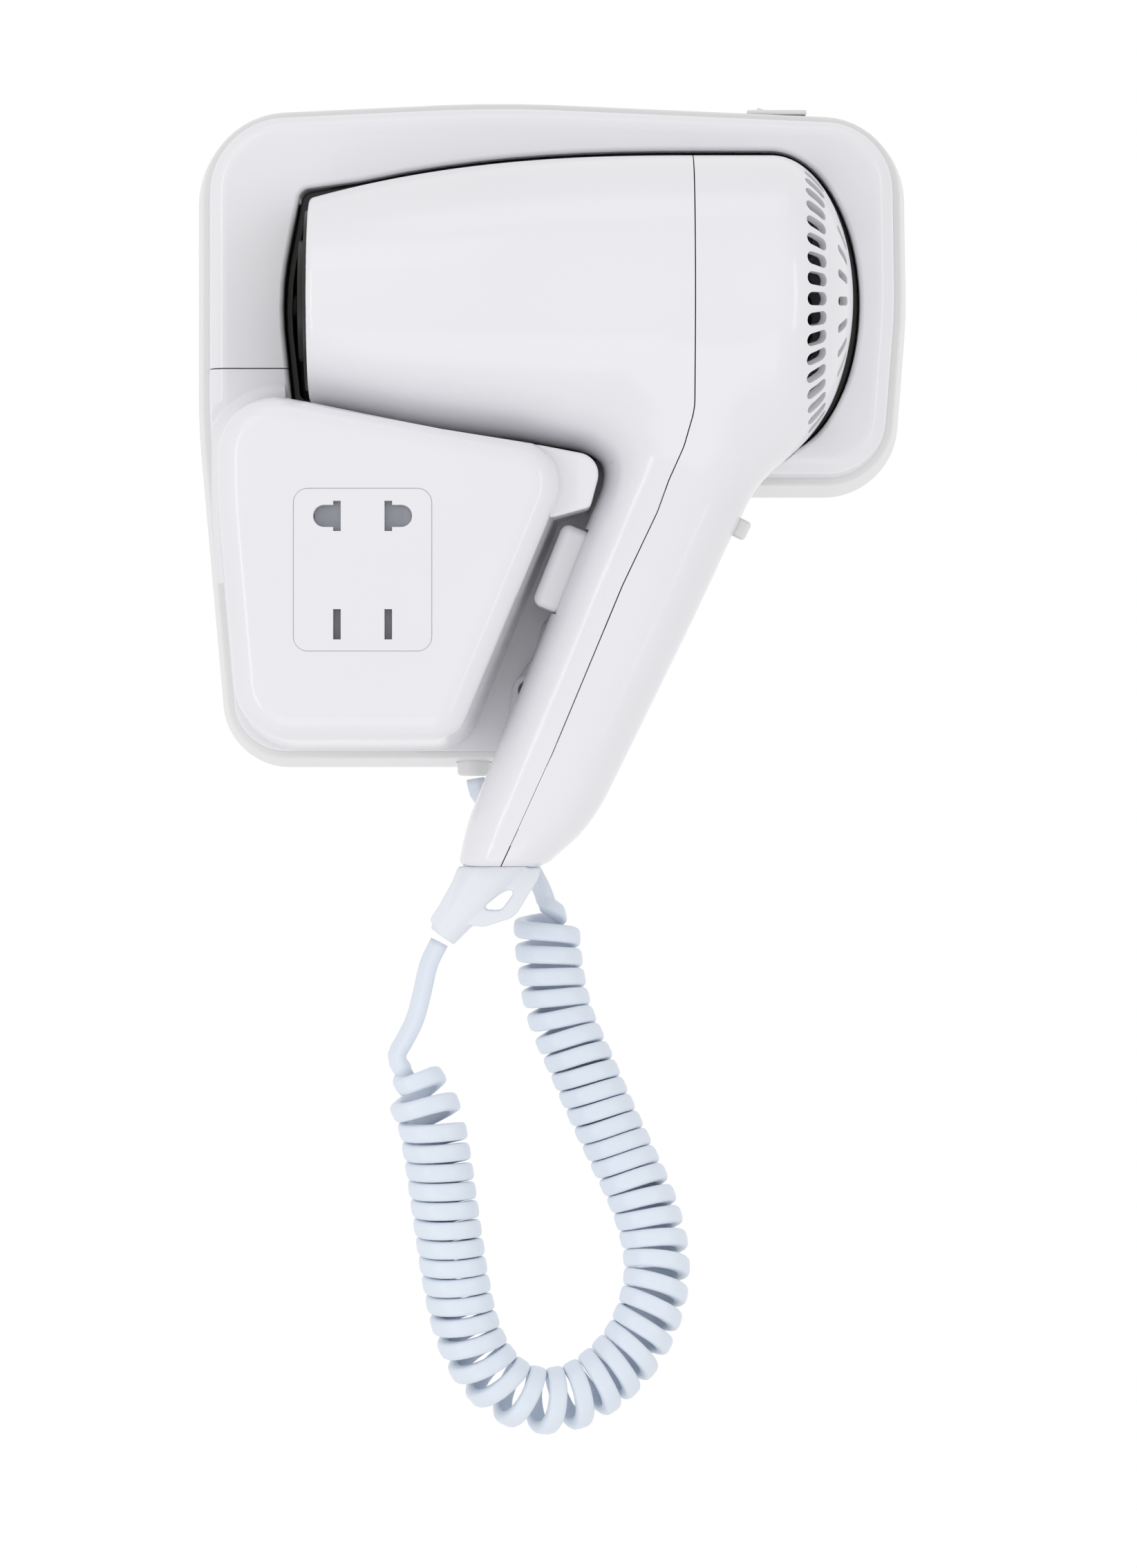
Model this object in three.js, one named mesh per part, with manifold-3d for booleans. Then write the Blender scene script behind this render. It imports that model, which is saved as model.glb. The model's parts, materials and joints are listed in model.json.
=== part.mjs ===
// Wall-mounted hotel hair dryer: a holder with a cradle, a shaver socket and its transformer,
// and a corded handset that rests in the cradle.
//
// Millimetres, +Z up. The wall is the plane y = 0 and the object stands off it toward -Y.
// x = 0, z = 0 is the middle of the holder's back. "Depth" below is the distance off the wall.

import * as THREE from 'three';
import { mergeVertices } from 'three/addons/utils/BufferGeometryUtils.js';
import Module from 'manifold-3d';

const wasm = await Module();
wasm.setup();

// ---------------------------------------------------------------- driving dimensions

const gap = 0.3;                 // running gap between parts that touch

// Holder outline against the wall
const holderLeft = -90.9;
const holderRight = 92.4;
const holderTop = 85.5;
const holderBottom = -86.4;
const armBottom = -16.6;         // lower edge of the arm that carries the motor end

// Holder depths
const backDepth = 22;            // back shell, wall to rim
const backFloor = 2.4;           // plate against the wall
const backDraft = 2.4;           // lean of the back shell's sides
const shellWall = 2.2;           // moulded walls
const rimSet = 4.0;              // front shells stand this far inside the back outline
const plateDepth = 38;           // face of the upper shell
const plateEdge = 5;             // rounding of that face
const boxDepth = 75;             // face of the transformer box
const boxEdge = 8;               // rounding of the box face
const boxDraft = 2.2;            // lean of the box walls
const troughDepth = 24.5;        // floor behind the handle
const platformStep = 2.5;        // raised part of that floor
const seamHeight = 15.2;         // joint between upper shell and box cover, left leg

// Cradle
const cradleGap = 2.2;           // outline of the cradle around the barrel
const cradleEnd = 6.4;           // room past the nozzle
const linerWall = 1.5;
const linerBack = 5;
const linerFloor = 7;
const linerRim = 33;
const gateLeft = 16;             // way out for the handle, at the bottom of the cradle
const gateRight = 54;
const gateDrop = 9.9;             // its floor, below the barrel
const gateStep = 4.1;            // the floor of the gate is higher where the arm begins

// Handset barrel, turned about a level axis
const barrelDepth = 46;          // axis off the wall
const barrelHeight = 30.9;       // axis above the origin
const bellyRadius = 36.5;
const nozzleRadius = 25.4;
const nozzleEnd = -61.5;
const bellyX = 36;
const domeX = 56;
const domeLength = 21.1;
const taperPower = 2.47;
const housingWall = 2.0;
const mouthRadius = 23;          // hole in the nozzle end
const seamX = 36.2;              // parting line between the two housings
const underBarrel = barrelHeight - bellyRadius;
const gateBottom = underBarrel - gateDrop;

// Handle
const handleRootX = 12.6;        // front edge at the root
const handleRootWidth = 38.6;
const handleRootZ = -17.8;
const handleEndZ = -111.4;
const frontLean = 0.4007;        // run of the front edge per unit of height
const rearLean = 0.485;

// Socket panel on the box face
const panelX = -46;
const panelZ = -37.8;
const panelWidth = 34;
const panelHeight = 40;
const panelRadius = 3.5;
const roundPinSpacing = 19;      // round-pin outlet
const bladeSpacing = 12.7;       // flat-pin outlets
const bladeSlot = [1.9, 7.5];
const roundPinRadius = 2.75;
const upperOutletZ = 13.3;       // outlet heights from the panel's middle
const lowerOutletZ = -13.5;

// Cord
const cordWidth = 4.6;
const coilRadius = 8.6;

// ---------------------------------------------------------------- materials

const finish = (color, roughness, metalness = 0) =>
  new THREE.MeshStandardMaterial({ color, roughness, metalness });

const whitePlastic = () => finish(0xeae9ee, 0.25);
const greyWhitePlastic = () => finish(0xd6d6d4, 0.35);
const blackPlastic = () => finish(0x1d1f1b, 0.4);
const softWhite = () => finish(0xdee2ea, 0.45);
const cordWhite = () => finish(0xdfe8f1, 0.4);
const steel = () => finish(0xb0b2b5, 0.35, 1);
const brass = () => finish(0xc8a24a, 0.35, 1);
const copper = () => finish(0xb4622e, 0.4, 1);
const mica = () => finish(0xb9a98a, 0.7);
const board = () => finish(0x2e6b3a, 0.6);
const greyPlastic = () => finish(0xb7babf, 0.4);

// ---------------------------------------------------------------- outlines and solids

const ARC_STEP = Math.PI / 10;

// A closed outline through corners [x, y, radius], counter-clockwise, moved inward by inset.
// Every inset gives the same number of points, so that outlines can be stacked.
function outline(corners, inset = 0) {
  const points = [];
  const count = corners.length;
  for (let i = 0; i < count; i++) {
    const [x, y, radius = 0] = corners[i];
    const [px, py] = corners[(i + count - 1) % count];
    const [qx, qy] = corners[(i + 1) % count];
    const before = new THREE.Vector2(x - px, y - py).normalize();
    const after = new THREE.Vector2(qx - x, qy - y).normalize();
    const mitre = inset / (1 + before.dot(after));
    const corner = new THREE.Vector2(
      x - mitre * (before.y + after.y),
      y + mitre * (before.x + after.x),
    );
    const turn = Math.atan2(before.cross(after), before.dot(after));
    if (radius === 0) {
      points.push(corner);
      continue;
    }
    const bend = Math.max(radius - inset * Math.sign(turn), 0.2);
    const reach = bend * Math.tan(Math.abs(turn) / 2);
    const start = corner.clone().addScaledVector(before, -reach);
    const side = new THREE.Vector2(-before.y, before.x).multiplyScalar(Math.sign(turn) * bend);
    const centre = start.clone().add(side);
    const steps = Math.max(2, Math.ceil(Math.abs(turn) / ARC_STEP));
    for (let k = 0; k <= steps; k++) {
      points.push(start.clone().rotateAround(centre, (turn * k) / steps));
    }
  }
  return points;
}

// A solid through stacked outlines with equal point counts, each at its own level.
function loft(outlines, levels) {
  const steps = levels.length - 1;
  const geometry = new THREE.ExtrudeGeometry(new THREE.Shape(outlines[0]), {
    depth: 1,
    steps,
    bevelEnabled: false,
  });
  const key = (x, y) => `${Math.fround(x)},${Math.fround(y)}`;
  const order = new Map(outlines[0].map((point, i) => [key(point.x, point.y), i]));
  const place = geometry.getAttribute('position');
  for (let i = 0; i < place.count; i++) {
    const level = Math.round(place.getZ(i) * steps);
    const point = outlines[level][order.get(key(place.getX(i), place.getY(i)))];
    place.setXYZ(i, point.x, point.y, levels[level]);
  }
  return geometry;
}

function toSolid(geometry) {
  geometry.deleteAttribute('normal');
  geometry.deleteAttribute('uv');
  const merged = mergeVertices(geometry, 1e-4);
  const index = merged.getIndex().array;
  const triangles = [];
  for (let i = 0; i < index.length; i += 3) {
    const [a, b, c] = index.slice(i, i + 3);
    if (a !== b && b !== c && c !== a) {
      triangles.push(a, b, c);
    }
  }
  return new wasm.Manifold(new wasm.Mesh({
    numProp: 3,
    vertProperties: new Float32Array(merged.getAttribute('position').array),
    triVerts: new Uint32Array(triangles),
  }));
}

const join = (...solids) => solids.reduce((whole, piece) => whole.add(piece));
const cut = (base, ...tools) => tools.reduce((whole, tool) => whole.subtract(tool), base);

// Outlines drawn in x and z, stacked in depth off the wall.
const offWall = (outlines, depths) => toSolid(loft(outlines, depths).rotateX(Math.PI / 2));

const prism = (corners, from, to, inset = 0) => {
  const points = outline(corners, inset);
  return offWall([points, points], [from, to]);
};

const rectangle = (x, z, width, height, radius = 0) => [
  [x - width / 2, z - height / 2, radius],
  [x + width / 2, z - height / 2, radius],
  [x + width / 2, z + height / 2, radius],
  [x - width / 2, z + height / 2, radius],
];

const block = (x0, x1, depth0, depth1, z0, z1) => toSolid(
  new THREE.BoxGeometry(x1 - x0, depth1 - depth0, z1 - z0)
    .translate((x0 + x1) / 2, -(depth0 + depth1) / 2, (z0 + z1) / 2));

// A round peg square to the wall.
const peg = (x, z, radius, from, to, sides = 16) => toSolid(
  new THREE.CylinderGeometry(radius, radius, to - from, sides)
    .translate(x, -(from + to) / 2, z));

// A round bar between two points, with its own radius at each end.
function bar(from, to, startRadius, endRadius = startRadius, sides = 20) {
  const start = new THREE.Vector3(...from);
  const way = new THREE.Vector3(...to).sub(start);
  const turn = new THREE.Quaternion().setFromUnitVectors(
    new THREE.Vector3(0, 1, 0), way.clone().normalize());
  const middle = start.addScaledVector(way, 0.5);
  return toSolid(new THREE.CylinderGeometry(endRadius, startRadius, way.length(), sides)
    .applyQuaternion(turn)
    .translate(middle.x, middle.y, middle.z));
}

// A body turned about the barrel's axis, from a profile of [x, radius] that runs
// along the outside toward +X and back along the inside.
const turned = (profile, sides = 28) => toSolid(
  new THREE.LatheGeometry(profile.map(([x, radius]) => new THREE.Vector2(radius, x)), sides)
    .rotateZ(-Math.PI / 2)
    .translate(0, -barrelDepth, barrelHeight));

const tube = (x0, x1, outer, inner, sides = 28) => turned(
  [[x0, inner], [x0, outer], [x1, outer], [x1, inner], [x0, inner]], sides);

const model = new THREE.Group();

function part(name, solid, material) {
  const { vertProperties, triVerts } = solid.getMesh();
  const geometry = new THREE.BufferGeometry();
  geometry.setAttribute('position', new THREE.BufferAttribute(new Float32Array(vertProperties), 3));
  geometry.setIndex(new THREE.BufferAttribute(new Uint32Array(triVerts), 1));
  const mesh = new THREE.Mesh(geometry, material);
  mesh.name = name;
  model.add(mesh);
}

// ---------------------------------------------------------------- barrel and cradle outline

// Outer radius of the barrel at x: a long taper to the nozzle and a domed motor end.
function barrelRadius(x) {
  if (x < bellyX) {
    const along = (bellyX - x) / (bellyX - nozzleEnd);
    return bellyRadius - (bellyRadius - nozzleRadius) * along ** taperPower;
  }
  if (x <= domeX) {
    return bellyRadius;
  }
  const along = Math.min((x - domeX) / domeLength, 1);
  return bellyRadius * Math.sqrt(1 - along * along);
}

// Edges of the dome's flat bands; both rings of slots lie within a band.
const domeBands = [20, 40, 49, 66, 90];

// The barrel's outer profile, shrunk by inset, from the nozzle to the tip of the dome.
function barrelProfile(inset, start, sections) {
  const profile = [];
  for (let i = 0; i <= sections; i++) {
    const x = start + ((domeX - start) * i) / sections;
    profile.push([x, barrelRadius(x) - inset]);
  }
  for (const degrees of domeBands) {
    const angle = THREE.MathUtils.degToRad(degrees);
    profile.push([
      domeX + (domeLength - inset) * Math.sin(angle),
      degrees === 90 ? 0 : (bellyRadius - inset) * Math.cos(angle),
    ]);
  }
  return profile;
}

// The cradle's lower edge, which follows the barrel's underside down to the handle.
const underside = (x, clearance) => [x, barrelHeight - barrelRadius(x) - clearance];
const cradleFloor = [
  [nozzleEnd - 3.5, barrelHeight - nozzleRadius - 0.3],
  underside(-26.6, 0.9),
  underside(-5.8, 1.8),
  underside(10.7, 2.7),
  underside(15.2, 3.2),
];
const [cradleFloorLeft] = cradleFloor;
const cradleFloorRight = cradleFloor.at(-1);

// The cradle's outline around the barrel, counter-clockwise from the top left.
function cradleCorners() {
  const corners = [
    [nozzleEnd - 1.3, barrelHeight + nozzleRadius + cradleGap + 1.2, 3],
    [nozzleEnd - cradleEnd, barrelHeight + 2, 60],
    [...cradleFloorLeft, 2],
    ...cradleFloor.slice(1),
    [gateLeft, gateBottom],
    [30, gateBottom],
    [40, gateBottom + gateStep],
    [gateRight, gateBottom + gateStep],
  ];
  for (let degrees = -78; degrees <= 90; degrees += 12) {
    const angle = THREE.MathUtils.degToRad(degrees);
    corners.push([
      domeX + (domeLength + cradleGap) * Math.cos(angle),
      barrelHeight + (bellyRadius + cradleGap) * Math.sin(angle),
    ]);
  }
  for (const x of [bellyX, 18, 0, -18, -36]) {
    corners.push([x, barrelHeight + barrelRadius(x) + cradleGap]);
  }
  return corners;
}

const cradle = cradleCorners();
const cradleCut = offWall(
  [0, 0, -0.8, -2.2].map((inset) => outline(cradle, inset)),
  [linerBack - 2, plateDepth - 3, plateDepth - 1, plateDepth + 0.5],
);
const barrelWay = prism([
  ...cradleFloor, [gateLeft, gateBottom], [gateRight, gateBottom],
  [domeX + 20, barrelHeight], [nozzleEnd - cradleEnd, barrelHeight],
], backDepth, boxDepth + 10);
const cradleWallBand = offWall(
  [outline(cradle, -shellWall - 0.4), outline(cradle, -shellWall - 0.4)], [0, boxDepth + 10]);

// ---------------------------------------------------------------- back shell

const backCorners = [
  [holderLeft, holderTop - 3.4, 24],
  [holderLeft, 2, 150],
  [holderLeft + 7.8, holderBottom, 17],
  [7, holderBottom, 13],
  [42, armBottom, 9],
  [holderRight - 3.6, armBottom, 17],
  [holderRight, 30, 120],
  [holderRight - 0.8, holderTop - 4.4, 22],
  [-13, holderTop + 0.2, 300],
];

const grommetX = -19.4;
const grommetDepth = 13;
const switchX = 58.4;
const switchDepth = 11;
const switchSize = [13, 9.2, 10];        // body behind the bezel, x by depth by height
const bezelRim = 1.2;
const switchSeat = holderTop - 4.6;      // flat that the bezel rests on
const keyholes = [[-60, 62], [62, 62], [-30, -62]];
const rearScrews = {
  upper_screw_left: [-78, 66],
  upper_screw_right: [81.6, 10],
  box_screw_left: [-75, -6],
  box_screw_bottom: [-64, -74],
};
const troughScrew = [-5.3, -67];
const postRadius = 3.6;
const grommetRadius = 4.2;
const screwBore = 1.6;
const screwHead = 2.9;

function keyhole([x, z]) {
  const head = peg(x, z, 4, -1, backFloor + 1, 20);
  const neck = block(x - 2.1, x + 2.1, -1, backFloor + 1, z, z + 8);
  return join(head, neck);
}

function backShell() {
  const outside = offWall(
    [outline(backCorners, 1.0), outline(backCorners), outline(backCorners, backDraft)],
    [0, 1.5, backDepth]);
  const inside = offWall(
    [outline(backCorners, shellWall + 0.3), outline(backCorners, shellWall + backDraft)],
    [backFloor, backDepth + 0.5]);
  let shell = cut(outside, inside);
  for (const [x, z] of Object.values(rearScrews)) {
    shell = cut(shell, peg(x, z, screwHead + gap, -1, 1.6), peg(x, z, screwBore, -1, 4));
  }
  const [tx, tz] = troughScrew;
  const post = peg(tx, tz, postRadius + 0.4, backFloor - 0.5, backDepth);
  shell = cut(join(shell, post), peg(tx, tz, screwBore, backDepth - 10, backDepth + 1));
  const grommetHole = bar(
    [grommetX, -grommetDepth, holderBottom - 5], [grommetX, -grommetDepth, holderBottom + 7],
    grommetRadius + gap);
  const [sw, sd] = switchSize;
  const switchHole = block(
    switchX - sw / 2 - gap, switchX + sw / 2 + gap,
    switchDepth - sd / 2 - gap, switchDepth + sd / 2 + gap,
    holderTop - 12, holderTop + 2);
  const seat = block(
    switchX - sw / 2 - bezelRim - gap, switchX + sw / 2 + bezelRim + gap,
    switchDepth - sd / 2 - bezelRim - gap, switchDepth + sd / 2 + bezelRim + gap,
    switchSeat, holderTop + 2);
  shell = cut(shell, grommetHole, switchHole, seat, ...keyholes.map(keyhole));
  part('back_shell', shell, greyWhitePlastic());
}

// ---------------------------------------------------------------- front shells

const armTip = 59;                       // end of the arm's face beside the handle
const shellLevels = [backDepth + gap, plateDepth - plateEdge, plateDepth - 2, plateDepth];
const shellInsets = [rimSet, rimSet + 1, rimSet + 2.2, rimSet + 5];

// A hollow post from the back shell's floor up into a front shell.
const post = ([x, z], top) => cut(
  peg(x, z, postRadius, backFloor + gap, top),
  peg(x, z, screwBore - gap, 0, backFloor + 14, 12));

function upperShell() {
  const outside = offWall(shellInsets.map((inset) => outline(backCorners, inset)), shellLevels);
  const inside = offWall(
    [outline(backCorners, rimSet + shellWall), outline(backCorners, rimSet + 1 + shellWall),
      outline(backCorners, rimSet + 5)],
    [0, plateDepth - plateEdge, plateDepth - shellWall]);
  const hollow = cut(inside, cradleWallBand);
  const below = block(holderLeft - 5, 0, 0, boxDepth, holderBottom - 5, seamHeight + gap / 2);
  const gate = block(-50, armTip, 0, boxDepth, holderBottom - 5, 0);
  let shell = cut(outside, hollow, cradleCut, below, gate);
  shell = join(shell,
    post(rearScrews.upper_screw_left, plateDepth - shellWall + 0.5),
    post(rearScrews.upper_screw_right, plateDepth - shellWall + 0.5));
  part('upper_shell', shell, whitePlastic());
}

// Box outline near its face.
const boxRight = -22.9;                  // right wall at the bottom
const boxLean = 0.4215;                  // run of the right wall per unit of height
const boxBottom = -80.1;
const boxLeft = -82.3;
const boxTopRight = boxRight + (cradleFloorRight[1] - boxBottom) * boxLean;
const boxCorners = [
  [boxLeft, cradleFloorLeft[1] + 2.9, 15],
  [boxLeft, -20, 150],
  [boxLeft + 5.3, boxBottom, 15],
  [boxRight, boxBottom, 9],
  [boxTopRight, cradleFloorRight[1] + 1.2, 12],
];
const boxLevels = [backDepth + gap, boxDepth - boxEdge - 1, boxDepth - 4.5, boxDepth - 1.4, boxDepth];
const boxInsets = [-boxDraft, 0, 0.7, 2.3, 5.5];

// The nose fills the corner between the barrel and the handle's front edge.
const noseCorners = [[-14, -4], [-14, -26], [1.5, -25.6, 1], [10.2, -21.6, 2.2], [14.3, -8.2, 3.4]];
const noseDepth = 66;

const legCorners = [
  [holderLeft + rimSet + 0.3, seamHeight + 10],
  [holderLeft + rimSet + 0.3, -6, 20],
  [boxLeft - boxDraft + 0.1, -32],
  [-60, -32],
  [-60, seamHeight + 10],
];

const troughRight = [[7, holderBottom], [42, armBottom]];
const troughCorners = [
  [-34, holderBottom + rimSet],
  [troughRight[0][0] - 2.2, holderBottom + rimSet, 9],
  [troughRight[1][0] - 2.2, armBottom + rimSet + 1.3],
  [gateRight, armBottom + rimSet + 2.4],
  [gateRight, -8], [-10, -8], [-34, -30],
];
// The raised floor under the handle, right of a channel that follows the box wall.
const platformCorners = [
  [-13.6, holderBottom + rimSet], [troughRight[0][0] - 4.6, holderBottom + rimSet, 8],
  [30, -33, 6], [5, -44, 6], [-1.9, -50, 3], [-4, -58, 4], [-9.6, -66, 4], [-10.4, -73, 3],
];

function boxCover() {
  const box = offWall(boxInsets.map((inset) => outline(boxCorners, inset)), boxLevels);
  const boxInside = offWall(
    [-boxDraft + shellWall, shellWall, shellWall + 3].map((inset) => outline(boxCorners, inset)),
    [0, boxDepth - boxEdge - 1, boxDepth - shellWall]);
  const leg = offWall(
    [0, 0.6, 1.6, 4].map((inset) => outline(legCorners, inset)), shellLevels);
  const aboveSeam = block(holderLeft, boxRight, 0, boxDepth, seamHeight - gap / 2, holderTop);
  const flange = cut(
    prism(backCorners, backDepth + gap, troughDepth, rimSet),
    block(boxRight - 12, holderRight, 0, boxDepth, holderBottom, holderTop));
  const legInside = offWall(
    [outline(legCorners, shellWall), outline(legCorners, shellWall + 1.2)],
    [0, plateDepth - shellWall]);
  const nose = offWall(
    [0, 0, 1.2, 3.2].map((inset) => outline(noseCorners, inset)),
    [backDepth + gap, noseDepth - 5, noseDepth - 1.6, noseDepth]);
  const floor = prism(troughCorners, backDepth + gap, troughDepth);
  const platform = prism(platformCorners, backDepth + gap, troughDepth + platformStep);
  const [tx, tz] = troughScrew;
  const boss = peg(tx, tz, 3.9, backDepth + gap, troughDepth + platformStep + 0.6, 24);
  const hollow = cut(join(boxInside, legInside), cradleWallBand);
  let cover = join(box, cut(join(leg, flange), aboveSeam), nose);
  cover = cut(cover, hollow);
  cover = join(cover, cut(join(floor, platform), boxInside), boss);
  cover = cut(cover, cradleCut, barrelWay);
  cover = cut(cover, peg(tx, tz, 2.7, troughDepth + 0.2, boxDepth, 20));
  cover = cut(cover, peg(tx, tz, screwBore + 0.1, 0, boxDepth, 12));
  cover = cut(cover, prism(
    rectangle(panelX, panelZ, panelWidth, panelHeight, panelRadius),
    boxDepth - shellWall - 4, boxDepth + 1, -gap));
  cover = join(cover,
    post(rearScrews.box_screw_left, boxDepth - shellWall + 0.5),
    post(rearScrews.box_screw_bottom, boxDepth - shellWall + 0.5));
  part('box_cover', cover, whitePlastic());
}

// ---------------------------------------------------------------- cradle liner

const restBoss = 4.1;                    // round boss that the nozzle grille faces

function cradleLiner() {
  const outside = prism(cradle, linerBack, linerRim, gap);
  const inside = prism(cradle, linerFloor, linerRim + 1, gap + linerWall);
  const gate = block(gateLeft - 2.5, 65, troughDepth - gap, linerRim + 1, gateBottom - 2, 0);
  const boss = toSolid(new THREE.CylinderGeometry(restBoss, restBoss, 2.6, 20)
    .rotateZ(Math.PI / 2)
    .translate(nozzleEnd - cradleEnd + 2.6, -(linerRim - 8), barrelHeight));
  part('cradle_liner', join(cut(outside, inside, gate), boss), blackPlastic());
}

// ---------------------------------------------------------------- shaver socket

const outlets = [
  { name: 'upper', z: panelZ + upperOutletZ },
  { name: 'lower', z: panelZ + lowerOutletZ },
];

// The two holes of an outlet. The upper one takes round pins or blades, the lower one blades.
function outletHoles({ name, z }, from, to) {
  const holes = [];
  for (const side of [-1, 1]) {
    const bladeX = panelX + (side * bladeSpacing) / 2;
    const [slotWidth, slotHeight] = bladeSlot;
    let hole = block(bladeX - slotWidth / 2, bladeX + slotWidth / 2, from, to,
      z - slotHeight / 2, z + slotHeight / 2);
    if (name === 'upper') {
      const pinX = panelX + (side * roundPinSpacing) / 2;
      hole = join(hole, peg(pinX, z, roundPinRadius, from, to, 20), block(
        Math.min(pinX, bladeX), Math.max(pinX, bladeX), from, to,
        z - roundPinRadius, z + roundPinRadius));
    }
    holes.push(hole);
  }
  return holes;
}

const panelFace = boxDepth + 0.2;
const flangeFace = boxDepth - shellWall - gap;
const flangeBack = flangeFace - 2;
const shutterFace = flangeBack - gap;
const shutterBack = shutterFace - 1.6;
const carrierFace = shutterBack - gap;
const carrierBack = carrierFace - 11;
const shutterHeight = 8.6;

function socketPanel() {
  const plate = offWall(
    [outline(rectangle(panelX, panelZ, panelWidth, panelHeight, panelRadius)),
      outline(rectangle(panelX, panelZ, panelWidth, panelHeight, panelRadius)),
      outline(rectangle(panelX, panelZ, panelWidth, panelHeight, panelRadius), 0.5)],
    [flangeBack, panelFace - 0.5, panelFace]);
  const flange = prism(
    rectangle(panelX, panelZ, panelWidth + 3, panelHeight + 3, panelRadius), flangeBack, flangeFace);
  const holes = outlets.flatMap((outlet) => outletHoles(outlet, flangeBack - 1, panelFace + 1));
  part('socket_panel', cut(join(plate, flange), ...holes), whitePlastic());
}

// Plates behind the holes. The upper one drops and the lower one rises, by 8.3 mm.
const leafWidth = 8.4;

function shutters() {
  const [upper, lower] = outlets;
  const pinX = (roundPinSpacing + bladeSpacing) / 4;
  part('upper_shutter', prism(
    rectangle(panelX, upper.z, 2 * pinX + leafWidth, shutterHeight, 1),
    shutterBack, shutterFace), greyPlastic());
  part('lower_shutter', prism(
    rectangle(panelX, lower.z, bladeSpacing + 4, shutterHeight, 1),
    shutterBack, shutterFace), greyPlastic());
}

const carrierWidth = panelWidth - 1;
const carrierHeight = panelHeight - 1;
const clip = [4.2, 6.4, 9];              // contact clip, x by height by depth

function contactCarrier() {
  const body = prism(
    rectangle(panelX, panelZ, carrierWidth, carrierHeight, 2), carrierBack, flangeBack - gap);
  const tray = prism(
    rectangle(panelX, panelZ, carrierWidth - 2.4, carrierHeight - 2.4, 1), carrierFace, flangeBack);
  let carrier = cut(body, tray);
  for (const { z } of outlets) {
    for (const side of [-1, 1]) {
      const x = panelX + (side * (bladeSpacing + 2.6)) / 2;
      carrier = cut(carrier, block(
        x - clip[0] / 2 - gap, x + clip[0] / 2 + gap, carrierFace - clip[2] - gap, carrierFace + 1,
        z - clip[1] / 2 - gap, z + clip[1] / 2 + gap));
    }
  }
  part('contact_carrier', carrier, greyPlastic());
}

function contacts() {
  for (const { name, z } of outlets) {
    for (const [label, side] of [['left', -1], ['right', 1]]) {
      const x = panelX + (side * (bladeSpacing + 2.6)) / 2;
      const [width, height, length] = clip;
      const back = carrierFace - length;
      const body = block(x - width / 2, x + width / 2, back, back + length - 0.4,
        z - height / 2, z + height / 2);
      const slot = block(x - width / 2 + 0.8, x + width / 2 - 0.8, back + 0.8, back + length + 1,
        z - height / 2 - 1, z + height / 2 + 1);
      part(`contact_${name}_${label}`, cut(body, slot), brass());
    }
  }
}

// Return springs of the shutters, upright in the carrier's tray beside them.
const springRadius = 0.75;

function shutterSprings() {
  const [upper, lower] = outlets;
  const pinX = (roundPinSpacing + bladeSpacing) / 4;
  const sides = [
    ['upper_shutter_spring', panelX - pinX - leafWidth / 2, upper.z],
    ['lower_shutter_spring', panelX - bladeSpacing / 2 - 2, lower.z],
  ];
  for (const [name, edge, z] of sides) {
    const ring = [[0.4, 0], [springRadius, 0], [springRadius, 7], [0.4, 7], [0.4, 0]]
      .map(([radius, height]) => new THREE.Vector2(radius, height));
    part(name, toSolid(new THREE.LatheGeometry(ring, 10)
      .rotateX(Math.PI / 2)
      .translate(edge - gap - springRadius, -(shutterBack + shutterFace) / 2, z - 3.5)), steel());
  }
}

// ---------------------------------------------------------------- transformer and terminals

const coreX = -48;
const coreZ = -38;
const coreWidth = 46;
const coreHeight = 38;
const coreStack = 18;
const coreDepth = 14;                    // back of the stack off the wall
const coreLeg = 8;
const coilThickness = 5.6;

function transformer() {
  const stack = prism(rectangle(coreX, coreZ, coreWidth, coreHeight), coreDepth, coreDepth + coreStack);
  const windowWidth = (coreWidth - 4 * coreLeg) / 2;
  let core = stack;
  for (const side of [-1, 1]) {
    core = cut(core, prism(
      rectangle(coreX + side * (coreLeg + windowWidth / 2), coreZ, windowWidth, coreHeight - 2 * coreLeg),
      0, boxDepth));
  }
  for (const side of [-1, 1]) {
    const z = coreZ + side * (coreHeight / 2 - coreLeg / 2);
    core = join(core, block(coreX - coreWidth / 2, coreX + coreWidth / 2,
      backFloor + gap, coreDepth + 0.5, z - 2, z + 2));
  }
  part('transformer_core', core, steel());
  const reach = coreLeg + windowWidth - gap;
  const span = coreHeight / 2 - coreLeg - gap;
  const outer = block(coreX - reach, coreX + reach,
    coreDepth - coilThickness, coreDepth + coreStack + coilThickness, coreZ - span, coreZ + span);
  const inner = block(coreX - coreLeg - gap, coreX + coreLeg + gap,
    coreDepth - gap, coreDepth + coreStack + gap, coreZ - span - 1, coreZ + span + 1);
  part('transformer_winding', cut(outer, inner), copper());
}

const terminalZ = -48;

function terminals() {
  let strip = block(-4, 14, backFloor + gap, 15, terminalZ - 5, terminalZ + 5);
  for (const x of [1, 9]) {
    strip = cut(strip, peg(x, terminalZ, 2.2, 9, 16, 12));
  }
  part('terminal_block', strip, softWhite());
}

// ---------------------------------------------------------------- main switch

const pivotZ = switchSeat + 0.3;
const rockerTilt = THREE.MathUtils.degToRad(8);
const rockerWidth = 7;

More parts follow.
